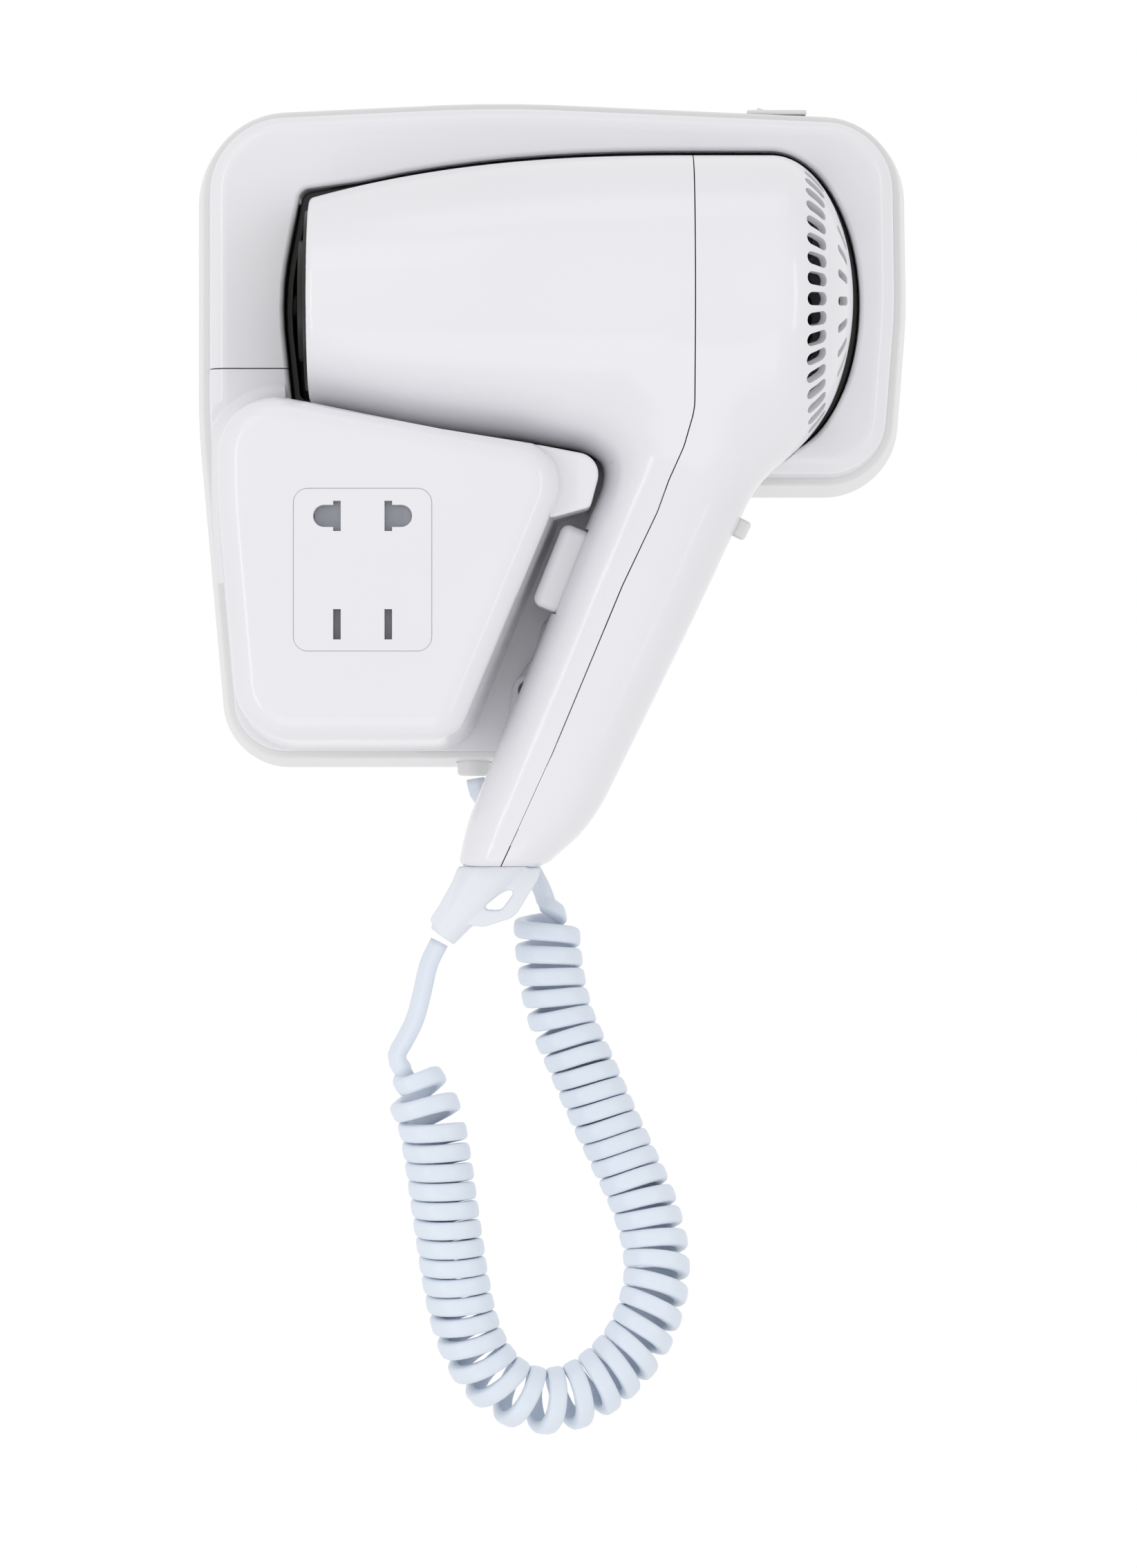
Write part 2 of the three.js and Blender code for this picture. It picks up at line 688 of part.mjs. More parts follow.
function mainSwitch() {
  const [sw, sd, sh] = switchSize;
  const bezelTop = switchSeat + 1.4;
  const bezel = block(
    switchX - sw / 2 - bezelRim, switchX + sw / 2 + bezelRim,
    switchDepth - sd / 2 - bezelRim, switchDepth + sd / 2 + bezelRim,
    switchSeat + gap / 2, bezelTop);
  const body = block(switchX - sw / 2, switchX + sw / 2, switchDepth - sd / 2, switchDepth + sd / 2,
    switchSeat - sh, bezelTop - 0.2);
  const well = toSolid(new THREE.CylinderGeometry(6.1, 6.1, rockerWidth + 2 * gap, 24)
    .translate(switchX, -switchDepth, pivotZ));
  part('main_switch_body', cut(join(bezel, body), well), greyWhitePlastic());
  const side = new THREE.Shape([
    [-4.4, -2.4], [4.4, -2.4], [5.3, 1.3], [0, 0.5], [-5.3, 1.3],
  ].map(([x, z]) => new THREE.Vector2(x, z)));
  const rocker = new THREE.ExtrudeGeometry(side, { depth: rockerWidth, bevelEnabled: false })
    .translate(0, 0, -rockerWidth / 2)
    .rotateX(Math.PI / 2)
    .rotateY(rockerTilt)
    .translate(switchX, -switchDepth, pivotZ);
  part('main_switch_rocker', toSolid(rocker), whitePlastic());
}

// ---------------------------------------------------------------- cord outlet and screws

const grommetTip = holderBottom - 2.3;
const grommetInside = holderBottom + 8;

function cordGrommet() {
  const profile = [
    [0, grommetTip], [3.6, grommetTip], [grommetRadius, grommetTip + 0.6],
    [grommetRadius, grommetInside - 2], [grommetRadius + 1.6, grommetInside - 2],
    [grommetRadius + 1.6, grommetInside], [0, grommetInside],
  ].map(([radius, z]) => new THREE.Vector2(radius, z));
  part('cord_grommet', toSolid(new THREE.LatheGeometry(profile, 20)
    .rotateX(Math.PI / 2)
    .translate(grommetX, -grommetDepth, 0)), greyWhitePlastic());
}

// A pan-head screw square to the wall, with a cross recess. Its head is at the wall side
// when toWall is set, and otherwise faces out.
function screw(name, [x, z], headDepth, shankEnd, radius, headRadius) {
  const outward = headDepth > shankEnd;
  const headBack = outward ? headDepth - 1.4 : headDepth + 1.2;
  const head = peg(x, z, headRadius, Math.min(headDepth, headBack), Math.max(headDepth, headBack));
  const shank = peg(x, z, radius, Math.min(shankEnd, headDepth + 0.2),
    Math.max(shankEnd, headDepth - 0.2), 12);
  const from = outward ? headDepth - 0.7 : headDepth - 0.1;
  const to = outward ? headDepth + 0.1 : headDepth + 0.7;
  const slot = join(block(x - 1.6, x + 1.6, from, to, z - 0.35, z + 0.35),
    block(x - 0.35, x + 0.35, from, to, z - 1.6, z + 1.6));
  part(name, cut(join(head, shank), slot), steel());
}

function screws() {
  for (const [name, place] of Object.entries(rearScrews)) {
    screw(name, place, 0.2, backFloor + 12, screwBore - 2 * gap, screwHead);
  }
  screw('trough_screw', troughScrew, troughDepth + 2.2, backDepth - 8, screwBore - gap, 2.3);
}

// ---------------------------------------------------------------- handle

// Handle sections from the root to the foot: height, width in x, half thickness in y.
const handleSections = [
  [handleEndZ, 20.4, 12.4],
  [handleEndZ + 1.2, 24.2, 14],
  [handleEndZ + 4.9, 28.2, 15],
  [handleEndZ + 14.3, 31.0, 16],
  [handleEndZ + 30, 33.0, 16.8],
  [handleRootZ - 32.2, 36.3, 17.4],
  [handleRootZ, handleRootWidth, 19],
  [underBarrel - 4.4, bellyRadius + 5.5, bellyRadius - 15.5],
  [underBarrel + 1.6, bellyRadius + 10.5, bellyRadius - 13],
  [underBarrel + 11.6, bellyRadius + 11.5, bellyRadius - 8.5],
];

const frontX = (z) => handleRootX + frontLean * (Math.min(z, underBarrel - 4.4) - handleRootZ);
const footX = frontX(handleEndZ);        // front edge at the handle's foot

const ROUNDNESS = 2.35;                  // exponent of the handle's oval

function handleSection([z, width, half], inset, sides = 24) {
  const points = [];
  const middle = frontX(z) + width / 2;
  const power = 2 / ROUNDNESS;
  for (let i = 0; i < sides; i++) {
    const angle = (2 * Math.PI * i) / sides;
    const c = Math.cos(angle);
    const s = Math.sin(angle);
    points.push(new THREE.Vector2(
      middle + (width / 2 - inset) * Math.sign(c) * Math.abs(c) ** power,
      -barrelDepth + (half - inset) * Math.sign(s) * Math.abs(s) ** power));
  }
  return points;
}

const outerHandle = () => toSolid(loft(
  handleSections.map((section) => handleSection(section, 0)),
  handleSections.map(([z]) => z)));

function innerHandle() {
  const sections = handleSections.slice(1);
  const levels = sections.map(([z], i) => (i === 0 ? handleEndZ + housingWall + 0.4 : z));
  return toSolid(loft(sections.map((section) => handleSection(section, housingWall, 20)), levels));
}

// Frames on the handle's front and rear faces: x points into the handle, z up along it.
const frontAngle = Math.atan(frontLean);
const rearAngle = Math.atan(rearLean);

function onFace(geometry, angle, [x, z], into, up) {
  const dx = Math.cos(angle) * into + Math.sin(angle) * up;
  const dz = -Math.sin(angle) * into + Math.cos(angle) * up;
  return geometry.rotateY(angle).translate(x + dx, -barrelDepth, z + dz);
}

const faceBlock = (angle, origin, into0, into1, half, up0, up1) => toSolid(onFace(
  new THREE.BoxGeometry(into1 - into0, 2 * half, up1 - up0), angle, origin,
  (into0 + into1) / 2, (up0 + up1) / 2));

const front = [handleRootX, handleRootZ];
const selectorDrop = 8.2;                // middle of the selector, below the root
const rear = [
  handleRootX + handleRootWidth - rearLean * selectorDrop, handleRootZ - selectorDrop,
];

// Parting line between the housings, from above the barrel to below the handle.
const partingLine = [
  [seamX, 90], [seamX, 2], [33.6, -7], [29.9, -15.2], [27.1, -23], [18.4, -41.3],
  [9.7, -62.2], [1.0, -83.1], [-7.7, -102.3], [-16.5, -121],
];

function halfSpace(side) {
  const edge = partingLine.map(([x, z]) => [x + (side * gap) / 2, z]);
  const far = side < 0 ? -130 : 130;
  const corners = side < 0
    ? [...edge].reverse().concat([[far, 90], [far, -121]])
    : edge.concat([[far, -121], [far, 90]]);
  return prism(corners, 0, 2 * barrelDepth);
}

// ---------------------------------------------------------------- handset housings

const barrelSides = 40;
const outerSlots = { count: 40, start: 0.5, angles: [22.5, 38], width: 3.1 };
const innerSlots = { count: 20, start: 0.25, angles: [50.8, 64], width: 2.2 };

// A ring of slots through the dome, each a thin wedge that points at the axis.
function dome({ count, start, angles, width }) {
  const slots = [];
  const reach = (degrees) => {
    const angle = THREE.MathUtils.degToRad(degrees);
    return [domeX + domeLength * Math.sin(angle), bellyRadius * Math.cos(angle)];
  };
  const [x0, r0] = reach(angles[0]);
  const [x1, r1] = reach(angles[1]);
  const tilt = Math.atan2(x1 - x0, r0 - r1);
  const length = Math.hypot(x1 - x0, r0 - r1);
  for (let i = 0; i < count; i++) {
    slots.push(toSolid(new THREE.BoxGeometry(10, width, length)
      .rotateY(-tilt)
      .translate((x0 + x1) / 2, 0, (r0 + r1) / 2)
      .rotateX((2 * Math.PI * (i + start)) / count)
      .translate(0, -barrelDepth, barrelHeight)));
  }
  return slots;
}

const trigger = { into: [-4.5, 6.5], half: 7.5, up: [-32, -10], travel: 3 };
const selector = { half: 3, length: 5, proud: 3.2, travel: 8, plate: 1.6 };
const bootHole = { x: footX + 12.5, radius: 4.6 };
const wallAtSelector = 2.4;

function housings() {
  const barrelOut = turned([[nozzleEnd, 0], [nozzleEnd, nozzleRadius - 1],
    ...barrelProfile(0, nozzleEnd + 0.8, 6)], barrelSides);
  const barrelIn = turned([[nozzleEnd + housingWall, 0],
    ...barrelProfile(housingWall, nozzleEnd + housingWall, 4)], barrelSides);
  const mouth = toSolid(new THREE.CylinderGeometry(mouthRadius, mouthRadius, 12, 32)
    .rotateZ(Math.PI / 2)
    .translate(nozzleEnd, -barrelDepth, barrelHeight));
  const bootBore = bar([bootHole.x, -barrelDepth, handleEndZ - 6],
    [bootHole.x, -barrelDepth, handleEndZ + 6], bootHole.radius);
  const triggerSlot = faceBlock(frontAngle, front, -8, 6, trigger.half + 0.4,
    trigger.up[0] - 0.4, trigger.up[1] + 0.4);
  const selectorSlot = faceBlock(rearAngle, rear, -6, 8, selector.half + 0.4,
    -selector.length / 2 - selector.travel - 0.4, selector.length / 2 + 0.4);
  const shell = cut(join(barrelOut, outerHandle()), join(barrelIn, innerHandle()), mouth, bootBore,
    triggerSlot, selectorSlot);
  const ribs = [-1, 1].map((side) => toSolid(onFace(
    new THREE.BoxGeometry(2.4, 9, 12).translate(0, side * (switchHalf + gap + 4.5), 0),
    frontAngle, front, 11.6, -21)));
  const handsetOut = join(barrelOut, outerHandle());
  const frontShell = join(
    shell.intersect(halfSpace(-1)),
    ...ribs.map((rib) => rib.intersect(handsetOut).intersect(halfSpace(-1))));
  part('front_housing', frontShell, whitePlastic());
  const slots = [...dome(outerSlots), ...dome(innerSlots)];
  part('rear_housing', cut(shell.intersect(halfSpace(1)), ...slots), whitePlastic());
}

// ---------------------------------------------------------------- handset inside

const motorRadius = 14;
const motorStart = 10;
const motorEnd = 44;
const shaftRadius = 1.2;
const fanX = [45.4, 54.4];
const shroudX = [38, 55.5];
const shroudWall = 2.4;
const fanRadius = bellyRadius - housingWall - gap - shroudWall - 2.2;
const shieldRadius = 20.4;
const shieldEnd = 24;
const switchHalf = 8;
const bladeCount = 7;

function outletGrille() {
  const rim = turned([
    [nozzleEnd + 5, shieldRadius + gap], [nozzleEnd + 0.3, shieldRadius + gap],
    [nozzleEnd + 0.3, mouthRadius - gap], [nozzleEnd + 5, mouthRadius - gap],
    [nozzleEnd + 5, shieldRadius + gap],
  ]);
  const middle = tube(nozzleEnd - 1.4, nozzleEnd + 2.2, 15.2, 13.6, 24);
  const inner = tube(nozzleEnd - 1.4, nozzleEnd + 2.2, 7.6, 6.2, 16);
  const hub = turned([[nozzleEnd - 1.4, 0], [nozzleEnd - 1.4, 2], [nozzleEnd + 2.2, 2],
    [nozzleEnd + 2.2, 0]], 12);
  let grille = join(rim, middle, inner, hub);
  for (let i = 0; i < 4; i++) {
    grille = join(grille, toSolid(new THREE.BoxGeometry(1.4, 1.2, 2 * shieldRadius + 2)
      .rotateX((Math.PI * i) / 4)
      .translate(nozzleEnd + 1.2, -barrelDepth, barrelHeight)));
  }
  part('outlet_grille', grille, blackPlastic());
}

function heater() {
  part('heat_shield', tube(nozzleEnd + 2, shieldEnd, shieldRadius, shieldRadius - 0.8), mica());
  const inside = shieldRadius - 0.8 - gap;
  const wireRadius = 17.9;
  const arm = (from, to, half, turnBy) => toSolid(new THREE.BoxGeometry(to - from, 0.8, 2 * half)
    .rotateX(turnBy)
    .translate((from + to) / 2, -barrelDepth, barrelHeight));
  let cross = arm(-50, 6, wireRadius - 1.6, 0);
  for (const turnBy of [0, Math.PI / 2]) {
    cross = join(cross, arm(-50, 6, wireRadius - 1.6, turnBy),
      arm(-50, -46, inside, turnBy), arm(2, 6, inside, turnBy));
  }
  part('heater_frame', cross, mica());
  const turns = 5;
  const stepsPerTurn = 12;
  const route = [];
  for (let i = 0; i <= turns * stepsPerTurn; i++) {
    const angle = (2 * Math.PI * i) / stepsPerTurn;
    route.push(new THREE.Vector3(-43 + (40 * i) / (turns * stepsPerTurn),
      -barrelDepth + wireRadius * Math.cos(angle), barrelHeight + wireRadius * Math.sin(angle)));
  }
  const section = new THREE.Shape(outline(rectangle(0, 0, 0.8, 0.8)));
  part('heater_coil', toSolid(new THREE.ExtrudeGeometry(section, {
    extrudePath: new THREE.CatmullRomCurve3(route),
    steps: turns * stepsPerTurn,
    bevelEnabled: false,
  })), steel());
  part('thermal_cutout', toSolid(new THREE.BoxGeometry(9, 3.4, 6)
    .translate(-22, -barrelDepth + 0.4 + gap + 1.7, barrelHeight + 7)), steel());
}

function fanAndMotor() {
  const shroudOut = bellyRadius - housingWall - gap;
  const cupIn = motorRadius + gap;
  let shroud = join(
    tube(shroudX[0], shroudX[1], shroudOut, shroudOut - shroudWall, barrelSides),
    turned([[shieldEnd - 4, cupIn], [shieldEnd - 4, cupIn + 2.4], [motorEnd, cupIn + 2.4],
      [motorEnd, cupIn], [shieldEnd - 4, cupIn]]));
  for (let i = 0; i < 6; i++) {
    shroud = join(shroud, toSolid(new THREE.BoxGeometry(5, 1.6, shroudOut - cupIn - 2.4)
      .translate(0, 0, (shroudOut + cupIn) / 2)
      .rotateX((Math.PI * i) / 3)
      .translate(shroudX[0] + 2.8, -barrelDepth, barrelHeight)));
  }
  part('fan_shroud', shroud, greyPlastic());
  const bore = shaftRadius + gap;
  part('motor_case', turned([
    [motorStart, 0], [motorStart, 9], [motorStart + 2, motorRadius], [motorEnd, motorRadius],
    [motorEnd, bore], [motorEnd - 12, bore], [motorEnd - 12, 0],
  ], 24), steel());
  part('motor_shaft', turned([[motorEnd - 12 + gap, 0], [motorEnd - 12 + gap, shaftRadius],
    [fanX[1] - 1, shaftRadius], [fanX[1] - 1, 0]], 12), steel());
  let fan = turned([
    [fanX[0], bore], [fanX[0], 11], [fanX[1] - 2, 11], [fanX[1], 8.5], [fanX[1], 0],
    [fanX[1] - 1 + gap, 0], [fanX[1] - 1 + gap, bore], [fanX[0], bore],
  ], 20);
  for (let i = 0; i < bladeCount; i++) {
    const length = fanRadius - 10;
    fan = join(fan, toSolid(new THREE.BoxGeometry(1.2, 13, length)
      .rotateZ(THREE.MathUtils.degToRad(52))
      .translate((fanX[0] + fanX[1]) / 2, 0, 10 + length / 2)
      .rotateX((2 * Math.PI * i) / bladeCount)
      .translate(0, -barrelDepth, barrelHeight)));
  }
  const trim = tube(fanX[0] - 5, fanX[1] + 5, fanRadius, 0.01, 40);
  part('fan', fan.intersect(join(trim, turned([[fanX[0] - 5, 0], [fanX[0] - 5, 20],
    [fanX[1] + 5, 20], [fanX[1] + 5, 0]]))), greyPlastic());
}

function dustScreen() {
  const outer = bellyRadius - housingWall - gap;
  const x = shroudX[1] + gap;
  let screen = join(
    tube(x, x + 1, outer - 1.2, outer - 3.6),
    turned([[x, 0], [x, 5], [x + 1, 5], [x + 1, 0]], 20));
  for (let i = 0; i < 4; i++) {
    screen = join(screen, toSolid(new THREE.BoxGeometry(1, 1.2, 2 * outer - 6)
      .rotateX((Math.PI * i) / 4)
      .translate(x + 0.5, -barrelDepth, barrelHeight)));
  }
  part('dust_screen', screen, blackPlastic());
}

function triggerParts() {
  const { into, half, up, travel } = trigger;
  const width = 2 * half;
  const shape = new THREE.Shape(outline(rectangle(0, 0, width - 1.2, up[1] - up[0] - 1.2, 1.8)));
  const button = new THREE.ExtrudeGeometry(shape, {
    depth: into[1] - into[0] - 0.6,
    bevelThickness: 0.6,
    bevelSize: 0.6,
    bevelSegments: 2,
    bevelEnabled: true,
  });
  // The rounded face looks out of the handle and the back is trimmed flat.
  button.translate(0, 0, -(into[1] - into[0] - 0.6)).rotateX(Math.PI / 2).rotateZ(-Math.PI / 2);
  const middle = (up[0] + up[1]) / 2;
  const solid = toSolid(onFace(button, frontAngle, front, into[0] + 0.6, middle));
  const boreEnd = -1;
  const boreRadius = 2.4;
  const bore = toSolid(onFace(
    new THREE.CylinderGeometry(boreRadius, boreRadius, 14, 16).rotateZ(Math.PI / 2),
    frontAngle, front, boreEnd + 7, middle));
  const back = faceBlock(frontAngle, front, into[1], into[1] + 8, half + 2, up[0] - 2, up[1] + 2);
  part('trigger', cut(solid, bore, back), whitePlastic());
  const moduleFace = into[1] + travel + gap;
  const springFrom = boreEnd + travel + gap;
  const springTo = moduleFace - gap;
  const coil = [[1.3, 0], [boreRadius - gap, 0], [boreRadius - gap, springTo - springFrom],
    [1.3, springTo - springFrom], [1.3, 0]].map(([radius, along]) => new THREE.Vector2(radius, along));
  part('trigger_spring', toSolid(onFace(
    new THREE.LatheGeometry(coil, 14).rotateZ(-Math.PI / 2),
    frontAngle, front, springFrom, middle)), steel());
  part('switch_module', faceBlock(frontAngle, front, moduleFace, moduleFace + 12, switchHalf,
    up[0] + 1, up[1] - 1), blackPlastic());
  const boardFace = moduleFace + 12 + gap;
  part('rectifier_board', toSolid(onFace(new THREE.BoxGeometry(9, 1.6, 20), frontAngle, front,
    boardFace + 4.5, middle + 2)), board());
}

function selectorParts() {
  const { half, length, proud, travel, plate } = selector;
  const inside = -wallAtSelector - gap;  // inner face of the rear wall, measured from outside
  const knob = faceBlock(rearAngle, rear, inside - 0.2, proud, half, -length / 2, length / 2);
  const slide = faceBlock(rearAngle, rear, inside - plate, inside, half + 2, -length / 2 - 2,
    length / 2 + 2);
  part('selector_slider', join(knob, slide), greyWhitePlastic());
  part('selector_switch_body', faceBlock(rearAngle, rear, inside - plate - gap - 8,
    inside - plate - gap, half + 3, -length / 2 - travel - 3, length / 2 + 4), blackPlastic());
}

// ---------------------------------------------------------------- strain relief and cord

// Its outline is measured from the front corner of the handle's foot.
const bootThickness = 7;
const bootOutline = [
  [2, -gap, 0.5], [0.6, -4, 4], [-3, -10.4, 2], [-5.3, -13.8, 1], [-0.3, -17.8, 1], [2.9, -14.6, 1],
  [8.5, -15.4, 4], [16.3, -12.9, 5], [22.3, -3.1, 3], [22.9, -gap, 0.5],
];
const bootEye = [[7.7, -11, 0.8], [12.9, -11.2, 2], [17.3, -5.2, 1], [12.9, -6.8, 2]];
const bootTip = [footX - 2, handleEndZ - 17.8];

function strainRelief() {
  const atFoot = ([x, z, radius]) => [footX + x, handleEndZ + z, radius];
  const side = new THREE.Shape(outline(bootOutline.map(atFoot)));
  side.holes.push(new THREE.Path(outline(bootEye.map(atFoot))));
  const flat = toSolid(new THREE.ExtrudeGeometry(side, { depth: bootThickness, bevelEnabled: false })
    .rotateX(Math.PI / 2)
    .translate(0, -barrelDepth + bootThickness / 2, 0));
  const cone = bar([bootHole.x + 1, -barrelDepth, handleEndZ + 4],
    [bootTip[0], -barrelDepth, bootTip[1]], 8.2, 3.6);
  const above = block(-60, 20, 20, 80, handleEndZ - gap, handleEndZ + 30);
  const neck = bar([bootHole.x, -barrelDepth, handleEndZ - 1],
    [bootHole.x, -barrelDepth, handleEndZ + 5], bootHole.radius - gap);
  part('strain_relief', join(cut(join(flat, cone), above), neck), softWhite());
}

const point = ([x, y, z]) => new THREE.Vector3(x, y, z);

function cordTube(name, points, radius, sides, steps) {
  const section = [];
  for (let i = 0; i < sides; i++) {
    const angle = (2 * Math.PI * i) / sides;
    section.push(new THREE.Vector2(radius * Math.cos(angle), radius * Math.sin(angle)));
  }
  part(name, toSolid(new THREE.ExtrudeGeometry(new THREE.Shape(section), {
    extrudePath: new THREE.CatmullRomCurve3(points.map(point), false, 'centripetal'),
    steps,
    bevelEnabled: false,
  })), cordWhite());
}

// The cord hangs from the grommet, behind the handle, down the coil and up to the handset.
const leadAtHandset = [
  [-27.6, -46, -130.6], [-30.2, -46, -136], [-32.1, -46, -144], [-33.9, -46, -150.4],
  [-36.4, -46, -155.4], [-38.3, -46, -159], [-37.9, -46, -161.2], [-36.9, -46, -162.7],
];
const coilAxis = [
  [-36.6, -46, -163.2], [-33.2, -46, -168.2], [-30.2, -46, -174.5], [-28.4, -45.5, -183],
  [-25.7, -44.5, -201.7], [-23.2, -43, -218], [-20.6, -42, -229], [-16.2, -41, -238],
  [-9.6, -39.5, -244.4], [-1.2, -38, -247], [7.6, -36, -245.4], [15.2, -34.5, -240.4],
  [21.4, -33, -233.6], [25.4, -32, -225.2], [27.3, -30.5, -216.4], [26.9, -29, -208],
  [23.8, -28, -197], [18.8, -27, -186], [13.2, -26.5, -174], [8.0, -26, -162],
  [2.9, -25, -150], [0.4, -24.5, -138.5], [-0.6, -24, -128], [-0.9, -23.4, -120.6],
];
const leadAtHolder = [
  [-1.6, -23.0, -119.6], [-4.6, -20.8, -112.6], [-9.6, -17.6, -104], [-14.6, -14.6, -97],
  [-18.2, -13.2, -93], [-19, -13, -89.4],
];
const innerLead = [
  [-12.4, -46, -105.6], [-11.6, -46, -101], [-5.6, -46, -84], [0.6, -46, -68], [4.4, -46, -57.6],
];
const baseLead = [
  [-19.4, -13, -77.9], [-18.8, -12.6, -70], [-16.4, -11.4, -60], [-12.4, -10.4, -51.5],
  [-8.4, -10, -48.3], [-4.6, -10, -48],
];

function cords() {
  cordTube('cord_lead_handset', leadAtHandset, cordWidth / 2, 10, 12);
  cordTube('cord_coil', coilAxis, coilRadius, 10, 34);
  cordTube('cord_lead_base', leadAtHolder, cordWidth / 2, 10, 12);
  cordTube('handle_lead', innerLead, cordWidth / 2, 8, 8);
  cordTube('base_lead', baseLead, cordWidth / 2, 8, 8);
}

// ---------------------------------------------------------------- assembly

backShell();
upperShell();
boxCover();
cradleLiner();
socketPanel();
shutters();
contactCarrier();
contacts();
shutterSprings();
transformer();
terminals();
mainSwitch();
cordGrommet();
screws();
housings();
outletGrille();
heater();
fanAndMotor();
dustScreen();
triggerParts();
selectorParts();
strainRelief();
cords();

export default model;
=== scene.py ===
# %% [markdown]
# # A hotel hair dryer in its wall holder
# The object is a white moulded holder on a wall, a handset that rests in it, and a coiled cord.
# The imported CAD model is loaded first. It fixes every size and place, and the pieces made below
# stand in for its plain solids. Lengths are worked out in millimetres and turned into metres
# when a piece is finished.

# %% Load the frame
import json
import math

import bmesh
import bpy
import numpy as np
from mathutils import Matrix, Vector


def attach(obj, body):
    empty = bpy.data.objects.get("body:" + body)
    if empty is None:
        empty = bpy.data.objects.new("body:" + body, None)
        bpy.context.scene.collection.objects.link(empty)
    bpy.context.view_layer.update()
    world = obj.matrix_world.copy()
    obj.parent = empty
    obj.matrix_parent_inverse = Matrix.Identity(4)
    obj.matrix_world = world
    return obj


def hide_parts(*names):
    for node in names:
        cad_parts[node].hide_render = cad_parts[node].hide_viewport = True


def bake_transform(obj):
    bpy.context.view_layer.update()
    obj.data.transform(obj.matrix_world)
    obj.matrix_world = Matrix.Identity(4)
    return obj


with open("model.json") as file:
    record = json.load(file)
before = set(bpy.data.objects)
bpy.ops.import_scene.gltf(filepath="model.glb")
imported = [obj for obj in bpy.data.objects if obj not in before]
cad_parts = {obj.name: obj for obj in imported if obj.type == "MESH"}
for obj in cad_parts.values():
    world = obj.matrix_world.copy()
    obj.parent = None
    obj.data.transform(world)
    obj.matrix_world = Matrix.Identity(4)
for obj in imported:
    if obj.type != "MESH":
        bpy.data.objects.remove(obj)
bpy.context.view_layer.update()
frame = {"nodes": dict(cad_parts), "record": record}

MM = 0.001


def in_scene(name, data):
    """A new object with this data, linked to the scene."""
    made = bpy.data.objects.new(name, data)
    bpy.context.scene.collection.objects.link(made)
    return made


# %% [markdown]
# ## Camera
# The view is square to the wall, from 1.6 m away, level with the middle of the object and its
# hanging cord. A long lens keeps the sides nearly parallel, as a product view does.

# %% Place the camera
camera = in_scene("camera", bpy.data.cameras.new("camera"))
camera.location = (0.00493, -1.6, -0.0908)
camera.rotation_euler = (math.radians(90), 0, 0)
camera.data.lens = 141.6
camera.data.sensor_width = 36
bpy.context.scene.camera = camera
print("camera at", tuple(camera.location), "lens", camera.data.lens)

# %% [markdown]
# ## Finishes
# Moulded plastic is never one flat colour: it varies a little from place to place, and its
# gloss breaks up on a very fine grain. Each finish here is a Principled shader with a large soft
# noise in the colour, a fine noise in the roughness and a fine bump. The patterns use Object
# coordinates, so they stay on the piece when it moves.

# %% Make a moulded finish
def srgb(red, green, blue):
    """A colour given as 0 to 255 on a screen, as the linear values that a shader takes."""
    linear = []
    for channel in (red, green, blue):
        value = channel / 255
        linear.append(value / 12.92 if value <= 0.04045 else ((value + 0.055) / 1.055) ** 2.4)
    return (*linear, 1.0)


def add_node(tree, kind, **values):
    """A new node with values on its inputs. An underscore stands for a space."""
    node = tree.nodes.new("ShaderNode" + kind)
    for name, value in values.items():
        node.inputs[name.replace("_", " ")].default_value = value
    return node


def finish(name, colour, roughness, vary=0.03, rough_vary=0.08, grain=1400, bump=0.04,
           metallic=0.0, blotch=18, coat=0.0):
    """A procedural finish: soft colour variation, broken gloss and a fine grain."""
    material = bpy.data.materials.new(name)
    material.use_nodes = True
    tree = material.node_tree
    shader = tree.nodes["Principled BSDF"]
    shader.inputs["Metallic"].default_value = metallic
    shader.inputs["Coat Weight"].default_value = coat
    place = add_node(tree, "TexCoord")
    soft = add_node(tree, "TexNoise", Scale=blotch, Detail=3)
    tree.links.new(place.outputs["Object"], soft.inputs["Vector"])
    tint = add_node(tree, "ValToRGB")
    tint.color_ramp.elements[0].position = 0.3
    tint.color_ramp.elements[1].position = 0.7
    tint.color_ramp.elements[0].color = (*[c * (1 - vary) for c in colour[:3]], 1)
    tint.color_ramp.elements[1].color = (*[min(c * (1 + vary * 0.5), 1) for c in colour[:3]], 1)
    tree.links.new(soft.outputs["Fac"], tint.inputs["Fac"])
    tree.links.new(tint.outputs["Color"], shader.inputs["Base Color"])
    fine = add_node(tree, "TexNoise", Scale=grain, Detail=2)
    tree.links.new(place.outputs["Object"], fine.inputs["Vector"])
    gloss = add_node(tree, "MapRange", To_Min=roughness - rough_vary / 2,
                     To_Max=roughness + rough_vary / 2)
    tree.links.new(fine.outputs["Fac"], gloss.inputs["Value"])
    tree.links.new(gloss.outputs["Result"], shader.inputs["Roughness"])
    relief = add_node(tree, "Bump", Strength=bump, Distance=0.0002)
    tree.links.new(fine.outputs["Fac"], relief.inputs["Height"])
    tree.links.new(relief.outputs["Normal"], shader.inputs["Normal"])
    return material


white_plastic = finish("white_plastic", srgb(234, 233, 237), 0.17, vary=0.012)
rim_plastic = finish("rim_plastic", srgb(229, 229, 229), 0.34, vary=0.015)
black_plastic = finish("black_plastic", srgb(29, 31, 27), 0.42, vary=0.2, bump=0.12)
# The shutters are white plastic; this grey is painted shade, the look of white plastic a few
# millimetres down in the socket's openings.
shutter_painted_shade = finish("shutter_painted_shade", srgb(183, 186, 193), 0.4)
soft_vinyl = finish("soft_vinyl", srgb(230, 233, 240), 0.42, vary=0.02, bump=0.08)
cord_vinyl = finish("cord_vinyl", srgb(223, 231, 242), 0.36, vary=0.02, bump=0.06, blotch=40)
print("finishes", len(bpy.data.materials))

